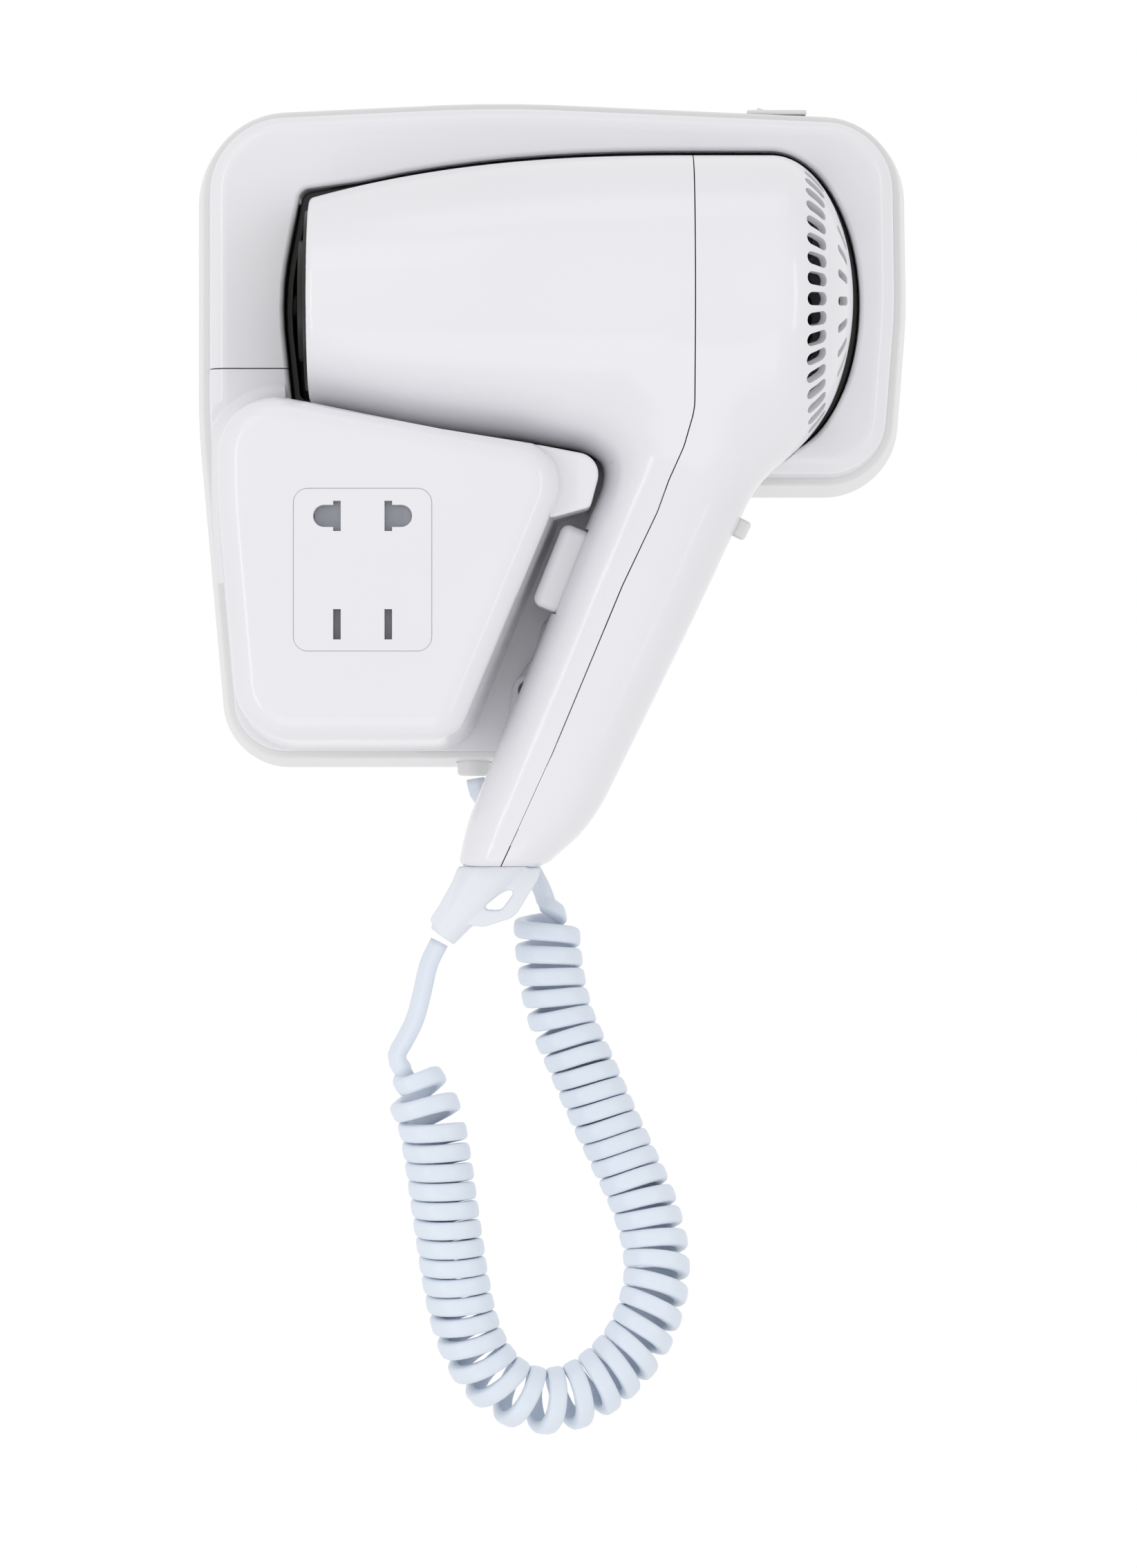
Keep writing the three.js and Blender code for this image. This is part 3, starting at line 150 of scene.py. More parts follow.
# %% [markdown]
# ## Cord: the route
# The cord leaves the grommet under the holder, runs down behind the handle, hangs in one long
# coil and comes back up to the strain relief on the handle. The route's points are those of the
# CAD model. One smooth curve goes through all of them.

# %% Take the cord's route from the CAD model's points
lead_at_handset = [
    (-27.6, -46, -130.6), (-30.2, -46, -136), (-32.1, -46, -144), (-33.9, -46, -150.4),
    (-36.4, -46, -155.4), (-38.3, -46, -159), (-37.9, -46, -161.2), (-36.9, -46, -162.7),
]
coil_axis = [
    (-33.2, -46, -168.2), (-30.2, -46, -174.5), (-28.4, -45.5, -183), (-25.7, -44.5, -201.7),
    (-23.2, -43, -218), (-20.6, -42, -229), (-16.2, -41, -238), (-9.6, -39.5, -244.4),
    (-1.2, -38, -247), (7.6, -36, -245.4), (15.2, -34.5, -240.4), (21.4, -33, -233.6),
    (25.4, -32, -225.2), (27.3, -30.5, -216.4), (26.9, -29, -208), (23.8, -28, -197),
    (18.8, -27, -186), (13.2, -26.5, -174), (8.0, -26, -162), (2.9, -25, -150),
    (0.4, -24.5, -138.5), (-0.6, -24, -128), (-0.9, -23.4, -120.6),
]
lead_at_holder = [
    (-4.6, -20.8, -112.6), (-9.6, -17.6, -104), (-14.6, -14.6, -97), (-18.2, -13.2, -93),
    (-19, -13, -89.4),
]
CORD_WIDTH = 4.6
CORD_THICK = 3.6
COIL_RADIUS = 8.5        # outside of the coil
PITCH = 4.72             # between turns that lie side by side


def through(points, step):
    """Points about a step apart on a smooth curve through the given ones (centripetal)."""
    given = np.array(points, float)
    padded = np.vstack([2 * given[0] - given[1], given, 2 * given[-1] - given[-2]])
    curve = []
    for a, b, c, d in zip(padded, padded[1:], padded[2:], padded[3:]):
        legs = [np.linalg.norm(q - p) ** 0.5 for p, q in ((a, b), (b, c), (c, d))]
        knots = np.cumsum([0] + legs)
        count = max(2, round(np.linalg.norm(c - b) / step))
        for t in np.linspace(knots[1], knots[2], count, endpoint=False):
            ab = a + (b - a) * (t - knots[0]) / (knots[1] - knots[0])
            bc = b + (c - b) * (t - knots[1]) / (knots[2] - knots[1])
            cd = c + (d - c) * (t - knots[2]) / (knots[3] - knots[2])
            abc = ab + (bc - ab) * (t - knots[0]) / (knots[2] - knots[0])
            bcd = bc + (cd - bc) * (t - knots[1]) / (knots[3] - knots[1])
            curve.append(abc + (bcd - abc) * (t - knots[1]) / (knots[2] - knots[1]))
    return np.array([*curve, given[-1]])


def evenly(line, count):
    """The line again, as count points at equal distances."""
    along = np.concatenate([[0], np.cumsum(np.linalg.norm(np.diff(line, axis=0), axis=1))])
    at = np.linspace(0, along[-1], count)
    return np.stack([np.interp(at, along, line[:, k]) for k in range(3)], axis=1), at


AXIS_STEP, AXIS_POINTS = 0.5, 6000
route = lead_at_handset + coil_axis + lead_at_holder
axis_line, axis_at = evenly(through(route, AXIS_STEP), AXIS_POINTS)
ends = [np.linalg.norm(axis_line - np.array(p), axis=1).argmin()
        for p in (lead_at_handset[-1], coil_axis[-1])]
coil_from, coil_to = axis_at[ends[0]], axis_at[ends[1]]
print("axis", round(axis_at[-1], 1), "mm, coiled from", round(coil_from, 1),
      "to", round(coil_to, 1))

# %% [markdown]
# ## Cord: the helix
# A curly cord is a helix wound on that route. Its turns lie side by side where it hangs
# straight. Where the route bends they still touch on the inside, so they open on the outside,
# and the pitch along the axis grows with the curvature. The helix is left-handed. At each end
# the radius shrinks to nothing, and the cord runs on as a straight lead.

# %% Wind the helix along the route
SMOOTH_OVER = 121        # axis points that each bend value is averaged over
FADE = 7.0               # length over which the coil opens from the straight lead
START_ANGLE = 2.4
tangent = np.gradient(axis_line, axis_at, axis=0)
tangent /= np.linalg.norm(tangent, axis=1)[:, None]
smooth = np.ones(SMOOTH_OVER) / SMOOTH_OVER
bend = np.linalg.norm(np.gradient(tangent, axis_at, axis=0), axis=1)
bend = np.convolve(np.pad(bend, SMOOTH_OVER // 2, mode="edge"), smooth, mode="valid")
normal = np.zeros_like(tangent)
normal[0] = (0, -1, 0)
for i in range(1, len(normal)):
    carried = normal[i - 1] - normal[i - 1].dot(tangent[i]) * tangent[i]
    normal[i] = carried / np.linalg.norm(carried)
across = np.cross(tangent, normal)

wind = COIL_RADIUS - CORD_THICK / 2
from_end = np.minimum(axis_at - coil_from, coil_to - axis_at)
opened = np.clip(from_end / FADE, 0, 1)
radius = wind * opened * opened * (3 - 2 * opened)
loosened = 1 + 0.35 * np.exp(-np.clip(axis_at - coil_from, 0, None) / 9) \
    + 0.3 * np.exp(-np.clip(coil_to - axis_at, 0, None) / 14)
pitch = PITCH * loosened / (1 - np.clip(wind * bend, 0, 0.45))
turning = np.where((axis_at > coil_from - 1) & (axis_at < coil_to + 1), 2 * np.pi / pitch, 0)
turned = np.cumsum((turning[1:] + turning[:-1]) / 2 * np.diff(axis_at))
angle = np.concatenate([[0], turned]) + START_ANGLE
turns = (angle[-1] - angle[0]) / (2 * np.pi)
outward = np.cos(angle)[:, None] * normal - np.sin(angle)[:, None] * across
helix = axis_line + radius[:, None] * outward
print("turns", round(turns, 1))

# %% [markdown]
# ## Cord: its section
# The cord isn't round. It is a flat twin cord, wider along the coil than through it, so its
# section is a rounded rectangle that turns with the helix. A ring of points is placed at each
# step and joined to the next one.

# %% Sweep the section along the helix
HELIX_STEP = 1.8
helix_length = float(np.linalg.norm(np.diff(helix, axis=0), axis=1).sum())
rings = int(helix_length / HELIX_STEP)
cord_line, cord_at = evenly(helix, rings)
full_at = np.concatenate([[0], np.cumsum(np.linalg.norm(np.diff(helix, axis=0), axis=1))])
side = np.stack([np.interp(cord_at, full_at, outward[:, k]) for k in range(3)], axis=1)
heading = np.gradient(cord_line, cord_at, axis=0)
heading /= np.linalg.norm(heading, axis=1)[:, None]
side -= (side * heading).sum(1)[:, None] * heading
side /= np.linalg.norm(side, axis=1)[:, None]
broad = np.cross(heading, side)
CORD_SIDES = 14
SQUARENESS = 2 / 3.4
ring_angle = 2 * np.pi * (np.arange(CORD_SIDES) + 0.5) / CORD_SIDES


def squared(wave):
    """A sine or cosine, filled out toward the corners of a rectangle."""
    return np.sign(wave) * np.abs(wave) ** SQUARENESS


flat = squared(np.cos(ring_angle)) * CORD_THICK / 2
wide = squared(np.sin(ring_angle)) * CORD_WIDTH / 2
skin = cord_line[:, None] + flat[None, :, None] * side[:, None] \
    + wide[None, :, None] * broad[:, None]

cord_mesh = bpy.data.meshes.new("cord")
quads = [
    (i * CORD_SIDES + k, i * CORD_SIDES + (k + 1) % CORD_SIDES,
     (i + 1) * CORD_SIDES + (k + 1) % CORD_SIDES, (i + 1) * CORD_SIDES + k)
    for i in range(rings - 1) for k in range(CORD_SIDES)
]
last = rings * CORD_SIDES - 1
caps = [tuple(range(CORD_SIDES)), tuple(range(last, last - CORD_SIDES, -1))]
cord_mesh.from_pydata((skin.reshape(-1, 3) * MM).tolist(), [], quads + caps)
cord_bm = bmesh.new()
cord_bm.from_mesh(cord_mesh)
bmesh.ops.recalc_face_normals(cord_bm, faces=cord_bm.faces)
cord_bm.to_mesh(cord_mesh)
cord_mesh.shade_smooth()
cord_mesh.materials.append(cord_vinyl)
cord = in_scene("curly_cord", cord_mesh)
print("cord length", round(helix_length), "mm,", rings, "rings")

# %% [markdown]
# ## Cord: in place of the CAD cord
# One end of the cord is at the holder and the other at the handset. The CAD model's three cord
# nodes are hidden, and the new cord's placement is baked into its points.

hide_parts("cord_lead_handset", "cord_coil", "cord_lead_base")
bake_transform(cord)

# %% [markdown]
# ## Moulded shells: the way they are made
# Every shell of the holder is an outline on the wall that is raised toward the room. A flat
# face is drawn first, and each corner is rounded with a vertex bevel. Insets then raise it:
# a step with a lot of rise and little inset is a drafted wall, and a few steps along a quarter
# circle round the edge of the face. Holes are cut with a Boolean, which keeps both solids closed.

# %% Draw, round and raise an outline
ARC = math.radians(7.5)


def grown(corners, by):
    """The corners of an outline that lies this far outside (or, below zero, inside) another."""
    moved = []
    for i, (x, z, *radius) in enumerate(corners):
        before = Vector((x, z)) - Vector(corners[i - 1][:2])
        after = Vector(corners[(i + 1) % len(corners)][:2]) - Vector((x, z))
        before.normalize()
        after.normalize()
        mitre = by / (1 + before.dot(after))
        turn = before.x * after.y - before.y * after.x
        place = (x + mitre * (before.y + after.y), z - mitre * (before.x + after.x))
        if radius:
            moved.append((*place, max(radius[0] + (by if turn > 0 else -by), 0.3)))
        else:
            moved.append(place)
    return moved


def round_corner(bm, vert, radius):
    """Rounds one corner of a flat face to a radius."""
    ways = [edge.other_vert(vert).co - vert.co for edge in vert.link_edges]
    turn = math.pi - ways[0].angle(ways[1])
    if turn > 0.01:
        bmesh.ops.bevel(bm, geom=[vert], offset=radius * math.tan(turn / 2), offset_type="OFFSET",
                        affect="VERTICES", segments=max(3, math.ceil(turn / ARC)), profile=0.5,
                        material=-1, clamp_overlap=False)


def raise_face(bm, face, steps):
    """Raises a face by (inset, rise) steps."""
    for inset, rise in steps:
        if inset:
            bmesh.ops.inset_region(bm, faces=[face], thickness=inset, depth=rise,
                                   use_boundary=True, use_even_offset=True)
        else:
            way = face.normal * rise
            made = bmesh.ops.extrude_face_region(bm, geom=[face], use_keep_orig=False)
            top = [f for f in made["geom"] if isinstance(f, bmesh.types.BMFace)][0]
            bmesh.ops.translate(bm, verts=top.verts, vec=way)
            if face.is_valid and face != top:
                bmesh.ops.delete(bm, geom=[face], context="FACES_ONLY")
            face = top
            face.normal_update()


def flat_face(corners, y):
    """A bmesh with one flat face on (x, z, radius) corners, which are rounded."""
    bm = bmesh.new()
    verts = [bm.verts.new((x, y, z)) for x, z, *_ in corners]
    bm.faces.new(verts)
    for vert, corner in zip(verts, corners):
        if len(corner) == 3:
            round_corner(bm, vert, corner[2])
    return bm


def thickened(bm, way):
    """Extrudes a flat face into a closed solid."""
    made = bmesh.ops.extrude_face_region(bm, geom=bm.faces[:])["geom"]
    moved = [part for part in made if isinstance(part, bmesh.types.BMVert)]
    bmesh.ops.translate(bm, vec=way, verts=moved)
    bmesh.ops.recalc_face_normals(bm, faces=bm.faces)
    return bm


def raised(corners, depth, toward_room, toward_wall=()):
    """A closed solid on an outline of (x, z, radius) corners at a depth off the wall."""
    bm = flat_face(corners, -depth)
    bm.faces.ensure_lookup_table()
    bm.normal_update()
    raise_face(bm, bm.faces[0], toward_room)
    rim = [edge for edge in bm.edges if edge.is_boundary]
    bottom = bmesh.ops.contextual_create(bm, geom=rim)["faces"]
    bmesh.ops.recalc_face_normals(bm, faces=bm.faces)
    if toward_wall:
        raise_face(bm, bottom[0], toward_wall)
    return bm


def edge_round(radius, segments=5):
    """Steps that round an outer edge: first up the wall, then in over the face."""
    turns = [math.radians(90 * i / segments) for i in range(segments + 1)]
    return [(radius * (math.cos(a) - math.cos(b)), radius * (math.sin(b) - math.sin(a)))
            for a, b in zip(turns, turns[1:])]


def hollow_round(radius, segments=5):
    """Steps that run in over a floor and curve up into a wall, as a fillet does."""
    turns = [math.radians(90 * i / segments) for i in range(segments + 1)]
    return [(radius * (math.sin(b) - math.sin(a)), radius * (math.cos(a) - math.cos(b)))
            for a, b in zip(turns, turns[1:])]


def solid(name, bm):
    """A scene object, still in millimetres, from a bmesh."""
    mesh = bpy.data.meshes.new(name)
    bm.to_mesh(mesh)
    bm.free()
    return in_scene(name, mesh)


def baked(piece):
    """A new mesh of a piece with its modifiers applied."""
    graph = bpy.context.evaluated_depsgraph_get()
    return bpy.data.meshes.new_from_object(piece.evaluated_get(graph))


def combine(target, operation, *tools):
    """Cuts, joins or intersects a solid with others, which are used up."""
    for tool in tools:
        modifier = target.modifiers.new("combine", "BOOLEAN")
        modifier.operation = operation
        modifier.solver = "MANIFOLD"
        modifier.object = tool
    mesh = baked(target)
    target.modifiers.clear()
    target.data = mesh
    for tool in tools:
        bpy.data.objects.remove(tool)
    if not len(mesh.polygons):
        raise ValueError(f"{target.name}: nothing is left after {operation}")
    return target


def complete(piece, material, body, slot_name, *nodes, sharp=32, weighted=True):
    """Turns a piece into metres, shades it, and lets it ride in place of its CAD nodes."""
    bm = bmesh.new()
    bm.from_mesh(piece.data)
    bmesh.ops.scale(bm, vec=(MM, MM, MM), verts=bm.verts)
    bmesh.ops.remove_doubles(bm, verts=bm.verts, dist=1e-7)
    bm.to_mesh(piece.data)
    bm.free()
    piece.data.shade_smooth()
    piece.data.set_sharp_from_angle(angle=math.radians(sharp))
    piece.data.materials.clear()
    piece.data.materials.append(material)
    if weighted:
        even = piece.modifiers.new("even shading", "WEIGHTED_NORMAL")
        even.keep_sharp = True
        even.weight = 80
    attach(piece, body)
    if nodes:
        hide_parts(*nodes)
    print(piece.name, len(piece.data.polygons), "faces,",
          "x".join(str(round(v / MM, 1)) for v in piece.dimensions), "mm")
    return piece


def cube(size):
    """A bmesh block of this size round the origin."""
    bm = bmesh.new()
    bmesh.ops.create_cube(bm, size=1)
    bmesh.ops.scale(bm, vec=size, verts=bm.verts)
    return bm


def cylinder(radius, length, segments=40, end_radius=None):
    """A bmesh cylinder or cone along z round the origin."""
    bm = bmesh.new()
    bmesh.ops.create_cone(bm, cap_ends=True, segments=segments, radius1=radius,
                          radius2=radius if end_radius is None else end_radius, depth=length)
    return bm


def placed(bm, where, degrees=0, about="X"):
    """Turns a bmesh about an axis through the origin, then moves it."""
    if degrees:
        turn = Matrix.Rotation(math.radians(degrees), 3, about)
        bmesh.ops.rotate(bm, cent=(0, 0, 0), matrix=turn, verts=bm.verts)
    bmesh.ops.translate(bm, vec=where, verts=bm.verts)
    return bm


def soften(bm, radius, segments, edges=None):
    """Rounds these edges, or all of them."""
    bmesh.ops.bevel(bm, geom=edges or bm.edges[:], offset=radius, affect="EDGES",
                    segments=segments, profile=0.5, material=-1)


def spun(name, points, centre, axis, steps):
    """A closed solid, spun from a profile."""
    bm = bmesh.new()
    verts = [bm.verts.new(point) for point in points]
    edges = [bm.edges.new(pair) for pair in zip(verts, verts[1:])]
    bmesh.ops.spin(bm, geom=verts + edges, cent=centre, axis=axis, angle=math.tau, steps=steps,
                   use_merge=True, dvec=(0, 0, 0))
    bmesh.ops.remove_doubles(bm, verts=bm.verts, dist=1e-3)
    bmesh.ops.recalc_face_normals(bm, faces=bm.faces)
    return solid(name, bm)


def slab(x0, x1, depth0, depth1, z0, z1):
    """A plain rectangular block."""
    middle = ((x0 + x1) / 2, -(depth0 + depth1) / 2, (z0 + z1) / 2)
    return solid("slab", placed(cube((x1 - x0, depth1 - depth0, z1 - z0)), middle))


def peg(x, z, radius, depth0, depth1, segments=40):
    """A round peg square to the wall."""
    return solid("peg", placed(cylinder(radius, depth1 - depth0, segments),
                               (x, -(depth0 + depth1) / 2, z), 90))


# %% [markdown]
# ## Back shell
# The tray that is screwed to the wall. Its outline is a rounded rectangle with one corner cut
# off: full height on the left, where the transformer is, and shallow under the arm on the
# right. The sides lean in toward the room so that the part leaves its mould.

# %% Make the back shell
back_corners = [
    (-90.9, 82.1, 24), (-90.9, 2, 150), (-83.1, -86.4, 17), (7, -86.4, 13), (42, -16.6, 9),
    (88.8, -16.6, 19), (92.4, 30, 120), (91.6, 81.1, 22), (-13, 85.7, 300),
]
CASE_SCREWS = {
    "upper_screw_left": (-78, 66), "upper_screw_right": (81.6, 10),
    "box_screw_left": (-75, -6), "box_screw_bottom": (-64, -74),
}
POST = (-5.3, -67)               # post that holds the trough
CORD_X, CORD_DEPTH = -19.4, 13   # where the cord enters the holder
back_shell = solid("back_shell_smooth", raised(
    back_corners, 1.5, [(2.1, 19.9), *edge_round(0.6, 3)], edge_round(1.0, 3)))
inside = solid("inside", raised(grown(back_corners, -2.5), 2.4, [(2.1, 20.5)]))
switch_hole = slab(51.6, 65.2, 6.1, 15.9, 73.5, 90)
switch_seat = slab(50.4, 66.4, 4.9, 17.1, 80.9, 90)
holes = [inside, switch_hole, switch_seat]
for x, z in ((-60, 62), (62, 62), (-30, -62)):
    holes += [peg(x, z, 4, -1, 3.4), slab(x - 2.1, x + 2.1, -1, 3.4, z, z + 8)]
for x, z in CASE_SCREWS.values():
    holes += [peg(x, z, 3.2, -1, 1.6), peg(x, z, 1.6, -1, 4)]
holes.append(solid("grommet_hole", placed(cylinder(4.5, 12), (CORD_X, -CORD_DEPTH, -85.4))))
combine(back_shell, "DIFFERENCE", *holes)
combine(back_shell, "UNION", peg(*POST, 4, 1.9, 22))
combine(back_shell, "DIFFERENCE", peg(*POST, 1.6, 12, 23))
complete(back_shell, rim_plastic, "holder", "grey_white_plastic", "back_shell")

# %% [markdown]
# ## Cradle: the shape of the opening
# The opening follows the barrel with a few millimetres all round. Its outline comes from the
# same two formulas as the barrel: a long taper, and a dome that is a quarter of an ellipse. The
# rim is rounded where it meets the plate, so the tool that cuts it widens toward the room.

# %% The barrel's formula and the cradle's outline
AXIS_DEPTH, AXIS_Z = 46, 30.9
BELLY, NOZZLE = 36.5, 25.4       # radii
NOZZLE_X, BELLY_X, DOME_X, DOME_LENGTH = -61.5, 36, 56, 20.6


def barrel_radius(x):
    """Outside radius of the barrel at x, for a number or an array."""
    taper = BELLY - (BELLY - NOZZLE) * np.clip((BELLY_X - x) / (BELLY_X - NOZZLE_X), 0, 2) ** 2.47
    dome = BELLY * np.sqrt(np.clip(1 - np.clip((x - DOME_X) / DOME_LENGTH, 0, 1) ** 2, 0, 1))
    return np.where(x > DOME_X, dome, taper)


def cradle_outline(more):
    """The cradle's outline, counter-clockwise, this much larger all round."""
    corners = [
        (NOZZLE_X - 1.3 - more, AXIS_Z + NOZZLE + 3.4 + more, 3 + max(more, 0)),
        (NOZZLE_X - 6.4 - more, AXIS_Z + 2, 60),
        (NOZZLE_X - 3.5 - more, AXIS_Z - NOZZLE - 0.3 - more, 2 + max(more, 0)),
    ]
    for x, clear in ((-46, 0.5), (-26.6, 0.9), (-5.8, 1.8), (10.7, 2.7), (15.2, 3.2)):
        corners.append((x, float(AXIS_Z - barrel_radius(x)) - clear - more))
    corners += [(16, -15.5 - more), (30, -15.5 - more),
                (40, -11.4 - more), (54 + more, -11.4 - more)]
    for degrees in range(-78, 91, 4):
        angle = math.radians(degrees)
        corners.append((DOME_X + (DOME_LENGTH + 2.2 + more) * math.cos(angle),
                        AXIS_Z + (BELLY + 2.2 + more) * math.sin(angle)))
    for x in (46, 36, 27, 18, 9, 0, -9, -18, -27, -36, -48):
        corners.append((x, float(AXIS_Z + barrel_radius(x)) + 2.2 + more))
    return corners


def cradle_tool(flare):
    """The cutter for the opening, wider at the rim by the flare."""
    return solid("cradle_tool", raised(cradle_outline(flare), 38.0, [(0, 4)],
                                       [*hollow_round(flare, 5), (0, 34)]))


# %% [markdown]
# ## Box cover
# The cover of the transformer box is one moulding: the tall box with the socket, a leg that
# carries the plate's surface down to its left, a nose that fills the corner beside the handle,
# and the floor of the trough behind the handle. Each is raised on its own and then joined. A
# fillet runs round the foot of the box where it stands on the leg.

# %% Make the box cover
box_corners = [
    (-82.3, 8.1, 15), (-82.3, -20, 150), (-77, -80.1, 15), (-22.9, -80.1, 9), (7.23, -7.6, 12),
]
box = solid("box_cover_smooth", raised(
    grown(box_corners, 2.2), 22.3, [(2.2, 45.2), *edge_round(7.5, 9)]))
foot = solid("foot", raised(grown(box_corners, 7.2), 37.4,
                            [(0.3, 0.4), *hollow_round(5.4, 6), (0.5, 3)]))
combine(foot, "INTERSECT", solid("zone", raised(
    [(-85.4, 14.3), (-85.4, -20, 20), (-84.2, -40), (-40, -40), (-40, 14.3)], 30, [(0, 30)])))
leg = solid("leg", raised(grown(back_corners, -4), 22.05, [(0.7, 11.15), *edge_round(4.8, 7)]))
combine(leg, "INTERSECT", slab(-95, -58, 0, 60, -34, 14.3))
leg_end = solid("leg_end", raised(
    [(-100, 30), (-100, -12), (-86, -22, 12), (-80.5, -36), (-40, -36), (-40, 30)], 10, [(0, 60)]))
combine(leg, "INTERSECT", leg_end)
flange = solid("flange", raised(grown(back_corners, -4), 22.05, [(0, 1.85), *edge_round(0.6, 3)]))
combine(flange, "INTERSECT", slab(-95, -34, 0, 60, -90, 14.3))
NOSE = [(-14, -4), (-14, -25.6), (1.5, -24.4, 2), (10.4, -22, 2), (13.8, -9.4, 5.6)]
nose = solid("nose", raised(NOSE, 22.05, [(0.1, 42.65), *edge_round(1.1, 5)]))
trough = solid("trough", raised(
    [(-34, -82.4), (4.8, -82.4, 9), (39.8, -11.3), (54, -10.2), (54, -8), (-10, -8), (-34, -30)],
    22.3, [(0, 1.9), *edge_round(0.3, 2)]))
platform = solid("platform", raised(
    [(-13.6, -82.4), (2.4, -82.4, 8), (30, -33, 6), (5, -44, 6), (-1.9, -50, 3), (-4, -58, 4),
     (-9.6, -66, 4), (-10.4, -73, 3)], 22.3, [(0.1, 3.5), *edge_round(1.2, 5)]))
box_room = solid("box_room", raised(grown(box_corners, -0.2), 20, [(1.8, 45), (3, 7.8)]))
cover_room = solid("cover_room", raised(grown(box_corners, -0.2), 0, [(1.8, 65), (3, 7.8)]))
combine(cover_room, "DIFFERENCE", solid("band", raised(cradle_outline(2.6), -1, [(0, 100)])))
combine(box, "UNION", foot, leg, flange, nose)
combine(box, "DIFFERENCE", cover_room)
combine(trough, "UNION", platform, peg(*POST, 3.9, 22.3, 27.6))
combine(trough, "DIFFERENCE", box_room)
combine(box, "UNION", trough)
way_corners = [*[c[:2] for c in cradle_outline(0)[2:8]],
               (16, -15.5), (54, -11.4), (76, 31), (-68, 31)]
barrel_way = solid("barrel_way", raised(grown(way_corners, 0.9), 75, [(0, 4)],
                                        [*hollow_round(0.9, 4), (0, 51)]))
socket_room = solid("socket_room", raised(
    [(-63.2, -58, 3.7), (-28.8, -58, 3.7), (-28.8, -17.6, 3.7), (-63.2, -17.6, 3.7)],
    66, [(0, 12)]))
combine(box, "DIFFERENCE", cradle_tool(1.3), barrel_way, socket_room, peg(*POST, 2.7, 24.7, 40),
        peg(*POST, 1.7, 0, 40))
complete(box, white_plastic, "holder", "white_plastic", "box_cover")

# %% [markdown]
# ## Cradle liner
# A black tray lines the opening. The black edge round the barrel is its wall. A round boss on
# its left wall faces the nozzle.

# %% Make the liner
liner = solid("cradle_liner_smooth", raised(cradle_outline(-0.3), 5,
                                            [(0, 27.5), *edge_round(0.5, 3)]))
combine(liner, "DIFFERENCE", solid("inside", raised(cradle_outline(-1.8), 7, [(0, 40)])),
        slab(13.5, 65, 24.2, 60, -17.5, 0))
boss = cylinder(4.1, 2.6)
soften(boss, 0.5, 3)
placed(boss, (-65.3, -25, AXIS_Z), 90, "Y")
combine(liner, "UNION", solid("boss", boss))
complete(liner, black_plastic, "holder", "black_plastic", "cradle_liner")

# %% [markdown]
# ## Shaver socket
# A plate with four openings stands a hair above the box face. The upper outlet takes round
# pins or blades, so each of its openings is a round hole and a slot in one. The lower outlet
# takes blades. Plain shutters close both from behind.

# %% Make the socket panel
SOCKET_X, SOCKET_Z = -46, -37.8
panel = solid("socket_panel_smooth", raised(
    [(-63.16, -57.96, 3.6), (-28.84, -57.96, 3.6), (-28.84, -17.64, 3.6), (-63.16, -17.64, 3.6)],
    70.6, [(0, 4.1), *edge_round(0.5, 4)]))
openings = []
for side_of in (-1, 1):
    blade_x, pin_x = SOCKET_X + side_of * 6.35, SOCKET_X + side_of * 9.5
    for z in (SOCKET_Z + 13.3, SOCKET_Z - 13.5):
        openings.append(slab(blade_x - 0.95, blade_x + 0.95, 60, 90, z - 3.75, z + 3.75))
    z = SOCKET_Z + 13.3
    openings.append(peg(pin_x, z, 2.75, 60, 90))
    openings.append(slab(min(pin_x, blade_x), max(pin_x, blade_x), 60, 90, z - 2.75, z + 2.75))
combine(panel, "DIFFERENCE", *openings)
complete(panel, white_plastic, "holder", "white_plastic", "socket_panel")

# %% [markdown]
# ## Handset: one skin for the barrel and the handle
# The barrel is round and the handle is oval, and they flow into each other. A Boolean alone
# would leave a hard crease there. So both are modelled as plain solids and joined, remeshed into
# small even cells, and each point is then moved onto a smooth union of the two forms: a formula
# that rounds the crease by a chosen radius, small under the nozzle and large at the back.

# %% The handle's sections and the blend
DEPTH = -AXIS_DEPTH
ROOT_X, ROOT_Z, FOOT_Z, LEAN = 12.6, -17.8, -111.4, 0.4007
HANDLE = np.array([
    # height, width in x, half thickness in y
    (FOOT_Z - 4, 19.5, 12.0), (FOOT_Z + 0.5, 21.8, 13.4), (FOOT_Z + 2.1, 23.8, 14.2),
    (FOOT_Z + 5.3, 27.0, 15.0), (FOOT_Z + 8.5, 29.8, 15.5), (FOOT_Z + 14.3, 32.0, 16.0),
    (FOOT_Z + 30, 33.5, 16.8), (ROOT_Z - 32.2, 36.3, 17.4), (ROOT_Z, 38.6, 19.0),
    (-10, 41.2, 20.6), (-4, 44.5, 22.4), (6, 48, 25), (22, 48, 26),
])
OVAL = 2.35
LIP_X = NOZZLE_X + 1.2   # the white lip ends just behind the black grille


def front_edge(z):
    """The handle's front edge at a height."""
    drawn_in = 2.2 * np.clip((FOOT_Z + 14 - z) / 14, 0, 1.2) ** 1.6
    return ROOT_X + LEAN * (np.minimum(z, -10.0) - ROOT_Z) + drawn_in


def handle_size(z):
    """Width and half thickness of the handle at a height, smoothed between the sections."""
    steps = (-3, -1.5, 0, 1.5, 3)
    return [sum(np.interp(z + step, HANDLE[:, 0], HANDLE[:, column]) for step in steps) / 5
            for column in (1, 2)]


def within(walls, rounding):
    """The distance to a form that lies inside all these walls, with rounded edges."""
    walls = np.stack(walls) + rounding
    return np.minimum(walls.max(0), 0) + np.sqrt((np.maximum(walls, 0) ** 2).sum(0)) - rounding


